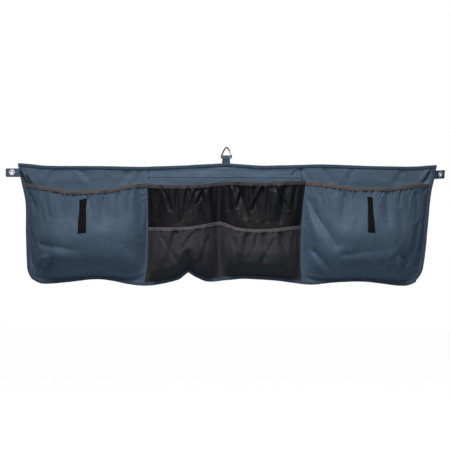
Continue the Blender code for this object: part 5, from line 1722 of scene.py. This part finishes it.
def rod_along(name, points, radius, resolution):
    """A round rod along points, from a curve with a round section."""
    line = bpy.data.curves.new(name, "CURVE")
    line.dimensions = "3D"
    line.bevel_depth = radius
    line.bevel_resolution = resolution
    line.use_fill_caps = True
    spline = line.splines.new("POLY")
    spline.points.add(len(points) - 1)
    spline.points.foreach_set("co", np.c_[points, np.ones(len(points))].ravel())
    obj = bpy.data.objects.new(name, line)
    bpy.context.scene.collection.objects.link(obj)
    select_only(obj)
    bpy.ops.object.convert(target="MESH")
    mode("EDIT")
    weld()
    return bpy.context.active_object


class ORGANIZER_OT_carabiner(bpy.types.Operator):
    """Adds the carabiner's coated frame, its gate and its rivet"""

    bl_idname = "organizer.carabiner"
    bl_label = "Carabiner"

    def execute(self, context):
        bar = joint_place("carabiner_swing")
        pivot = Vector((PIVOT_X, 0, PIVOT_HEIGHT))
        nose = Vector((NOSE_X, 0, NOSE_HEIGHT))
        line = (nose - pivot).normalized()
        route = [pivot - line * (TANG_RADIUS + 0.0012)]
        route += [(x, 0, z) for x, z in HOOP]
        route += [nose + line * 0.0028, nose]
        hoop = rod_along("carabiner_hoop", smooth_path(route, 150), ROD_RADIUS, 5)
        lean = Matrix.Rotation(-math.atan2(PIVOT_X - NOSE_X, NOSE_HEIGHT - PIVOT_HEIGHT), 4, "Y")
        along_x, along_y = (Matrix.Rotation(math.pi / 2, 4, axis) for axis in "YX")
        middle = Matrix.Translation((0.0010, 0, CROSSBAR_HEIGHT)) @ along_x
        combine(hoop, cylinder("crossbar", BAR_RADIUS, 0.0330, middle, 24), "UNION")
        across = Matrix.Translation(pivot) @ along_y
        tang = cylinder("tang", TANG_RADIUS, TANG_THICKNESS, across, 28, 0.0002)
        combine(hoop, tang, "UNION")
        size = TANG_RADIUS * 1.9, TANG_THICKNESS * 0.98, TANG_RADIUS * 2.2
        web = block(size, Matrix.Translation(pivot - line * TANG_RADIUS * 0.9) @ lean)
        combine(hoop, web, "UNION")
        hole = cylinder("hole", RIVET_RADIUS + RIVET_CLEAR, 0.01, across, 20)
        combine(hoop, hole, "DIFFERENCE")
        base = Matrix.Translation(bar)
        place_metal(hoop, base, 45, "coated", "coated_metal", HOOK, "carabiner_frame")
        length = (nose - pivot).length - SMALL_GAP
        gate = cylinder(
            "carabiner_gate_rod", GATE_RADIUS, length + GATE_RADIUS,
            Matrix.Translation((0, 0, (length - GATE_RADIUS) / 2)), 32, 0.00035,
        )
        size = GATE_RADIUS * 4, TANG_THICKNESS + 0.0004, FORK_DEPTH + GATE_RADIUS
        fork = block(size, Matrix.Translation((0, 0, FORK_DEPTH / 2 - GATE_RADIUS)))
        combine(gate, fork, "DIFFERENCE")
        hole = cylinder("hole", RIVET_RADIUS + RIVET_CLEAR * 2, 0.01, along_y, 20)
        combine(gate, hole, "DIFFERENCE")
        place = Matrix.Translation(joint_place("gate_pivot")) @ lean
        place_metal(gate, place, 40, "steel", "bright_steel", GATE, "carabiner_gate")
        half = GATE_RADIUS + 0.0002
        head = [
            (RIVET_HEAD * math.cos(t), half + 0.0004 * math.sin(t)) for t in np.linspace(0, 1.35, 6)
        ]
        profile = [
            (RIVET_RADIUS, -half), (RIVET_HEAD, -half), *[(r, -y) for r, y in head[1:]],
            (0.00008, -half - 0.0004), (0.00008, half + 0.0004), *head[::-1], (RIVET_RADIUS, half),
        ]
        rivet = lathe("carabiner_rivet", profile, 24)
        place = Matrix.Translation(bar + pivot)
        place_metal(rivet, place, 40, "steel", "bright_steel", HOOK, "gate_rivet")
        for name in ("gate_plunger", "gate_spring"):
            for slot in frame["nodes"][name].material_slots:
                slot.material = FINISHES["steel"]
        return {"FINISHED"}


class ORGANIZER_OT_seams(bpy.types.Operator):
    """Adds the stitched lines and bartacks of the header and of the seams between the pockets"""

    bl_idname = "organizer.seams"
    bl_label = "Seams"

    def execute(self, context):
        t = np.linspace(0, 1, 300)
        for k, (x0, z0, x1, z1) in enumerate(HEADER_LINES):
            line = mix(x0, x1, t), mix(z0, z1, t)
            self.on_panel("header_stitches_%d" % k, *line, 0.55, SEAM_STITCH, "header_thread")
        t = np.linspace(0, 1, 24)
        zigzag = 0.0022 * np.where(np.arange(24) % 2, 1, -1)
        for k, (x, z) in enumerate(BARTACKS):
            line = x + zigzag, mix(z + 0.004, z - 0.004, t)
            self.on_panel("bartack_%d" % k, *line, 0.6, BARTACK, "blue_thread")
        foot = float(bottom_z(DIVIDER_X + divider_drift(1.0)))
        t = np.linspace(0.0, 0.985, 500)
        middle_z = mix(MIDDLE_MOUTH_Z, foot, t)
        seams = {
            "left": left_seam(LEFT_SEAM_START)(t), "right": right_seam(RIGHT_SEAM_START)(t),
            "middle": flat_points(divider_x(middle_z), middle_z),
        }
        for side, flat in seams.items():
            for label, offset in (("a", -0.0028), ("b", 0.0028)):
                line = flat[:, 0] + offset, flat[:, 1]
                name = side + "_seam_back_" + label
                self.on_panel(name, *line, 0.55, SEAM_STITCH, "dark_thread", 1)
        return {"FINISHED"}

    def on_panel(self, name, x, z, lift, stitch, thread, facing=-1):
        panel = SHAPES["panel"]
        path, out = panel.stitched(*panel.locate(x, z), PANEL_CLOTH * lift, facing)
        sew(name, path, out, stitch, thread, "blue_cloth")


class ORGANIZER_OT_finishes(bpy.types.Operator):
    """Makes the cloth, tape, net, thread and metal finishes"""

    bl_idname = "organizer.finishes"
    bl_label = "Finishes"

    def execute(self, context):
        look = settings()
        FINISHES.update(
            blue=woven_finish(
                "Blue cloth", look.blue, look.weave, 0.50, 0.10, gloss=0.24, sheen=0.02,
            ),
            # The back cloth is the blue cloth painted 1.14 times lighter: a lit copy of the same
            # cloth, standing for the light on the flat header.
            header=header_finish(
                "Back cloth", shade(look.blue, 1.14), look.weave, 0.50, 0.24, 0.02,
            ),
            ribbon=woven_finish("Blue ribbon", look.blue, look.weave * 0.8, 0.6, 0.12),
            black=woven_finish(
                "Black cloth", look.black, look.weave * 0.7, 0.40, 0.14, gloss=0.22,
            ),
            navy=ribbed_finish("Navy tape", look.navy, 0.0011, 0.7, crease_shade=True),
            strip=ribbed_finish("Ribbed strip", look.strip, 0.0016, 0.62, True),
            net=net_finish("Black net", look.net, look.hole),
            navy_thread=thread_finish("Navy thread", shade(look.navy, 0.30)),
            blue_thread=thread_finish("Blue thread", shade(look.blue, 0.35)),
            header_thread=thread_finish("Header thread", shade(look.blue, 0.65)),
            dark_thread=thread_finish("Dark thread", (0.012, 0.012, 0.013)),
            nickel=metal_finish("Nickel plate", look.nickel, 0.36),
            steel=metal_finish("Bright steel", (0.66, 0.66, 0.68), 0.28, 0.002),
            coated=coated_finish("Coated metal", (0.014, 0.013, 0.012), (0.26, 0.12, 0.07)),
        )
        for key, name, colour in (
            ("elastic", "Grey elastic", look.elastic),
            ("dark_elastic", "Dark elastic", look.dark_elastic),
            # The net pockets' elastic is the middle elastic painted 1.45 times lighter: a lit copy
            # of the same elastic.
            ("lit_net_elastic", "Net elastic", shade(look.dark_elastic, 1.45)),
        ):
            FINISHES[key] = ribbed_finish(name, colour, 0.0008, 0.78, True, ELASTIC_GROOVE)
        return {"FINISHED"}


OPERATORS = (
    ORGANIZER_OT_stage, ORGANIZER_OT_finishes, ORGANIZER_OT_back_panel, ORGANIZER_OT_tapes,
    ORGANIZER_OT_side_pockets, ORGANIZER_OT_middle_pockets, ORGANIZER_OT_strips, ORGANIZER_OT_tabs,
    ORGANIZER_OT_loop, ORGANIZER_OT_carabiner, ORGANIZER_OT_seams,
)


class ORGANIZER_PT_panel(bpy.types.Panel):
    """Lists the sizes, the colours and the pieces of the organizer"""

    bl_idname = "ORGANIZER_PT_panel"
    bl_label = "Organizer"
    bl_space_type = "VIEW_3D"
    bl_region_type = "UI"
    bl_category = "Organizer"

    def draw(self, context):
        look = context.scene.organizer_settings
        for name in OrganizerSettings.__annotations__:
            self.layout.prop(look, name)
        for operator in OPERATORS:
            self.layout.operator(operator.bl_idname)


def register():
    for item in (OrganizerSettings, *OPERATORS, ORGANIZER_PT_panel):
        bpy.utils.register_class(item)
    bpy.types.Scene.organizer_settings = PointerProperty(type=OrganizerSettings)


def unregister():
    del bpy.types.Scene.organizer_settings
    for item in reversed((OrganizerSettings, *OPERATORS, ORGANIZER_PT_panel)):
        bpy.utils.unregister_class(item)


def main():
    register()
    for operator in OPERATORS:
        group, name = operator.bl_idname.split(".")
        getattr(getattr(bpy.ops, group), name)()


if __name__ == "__main__":
    main()
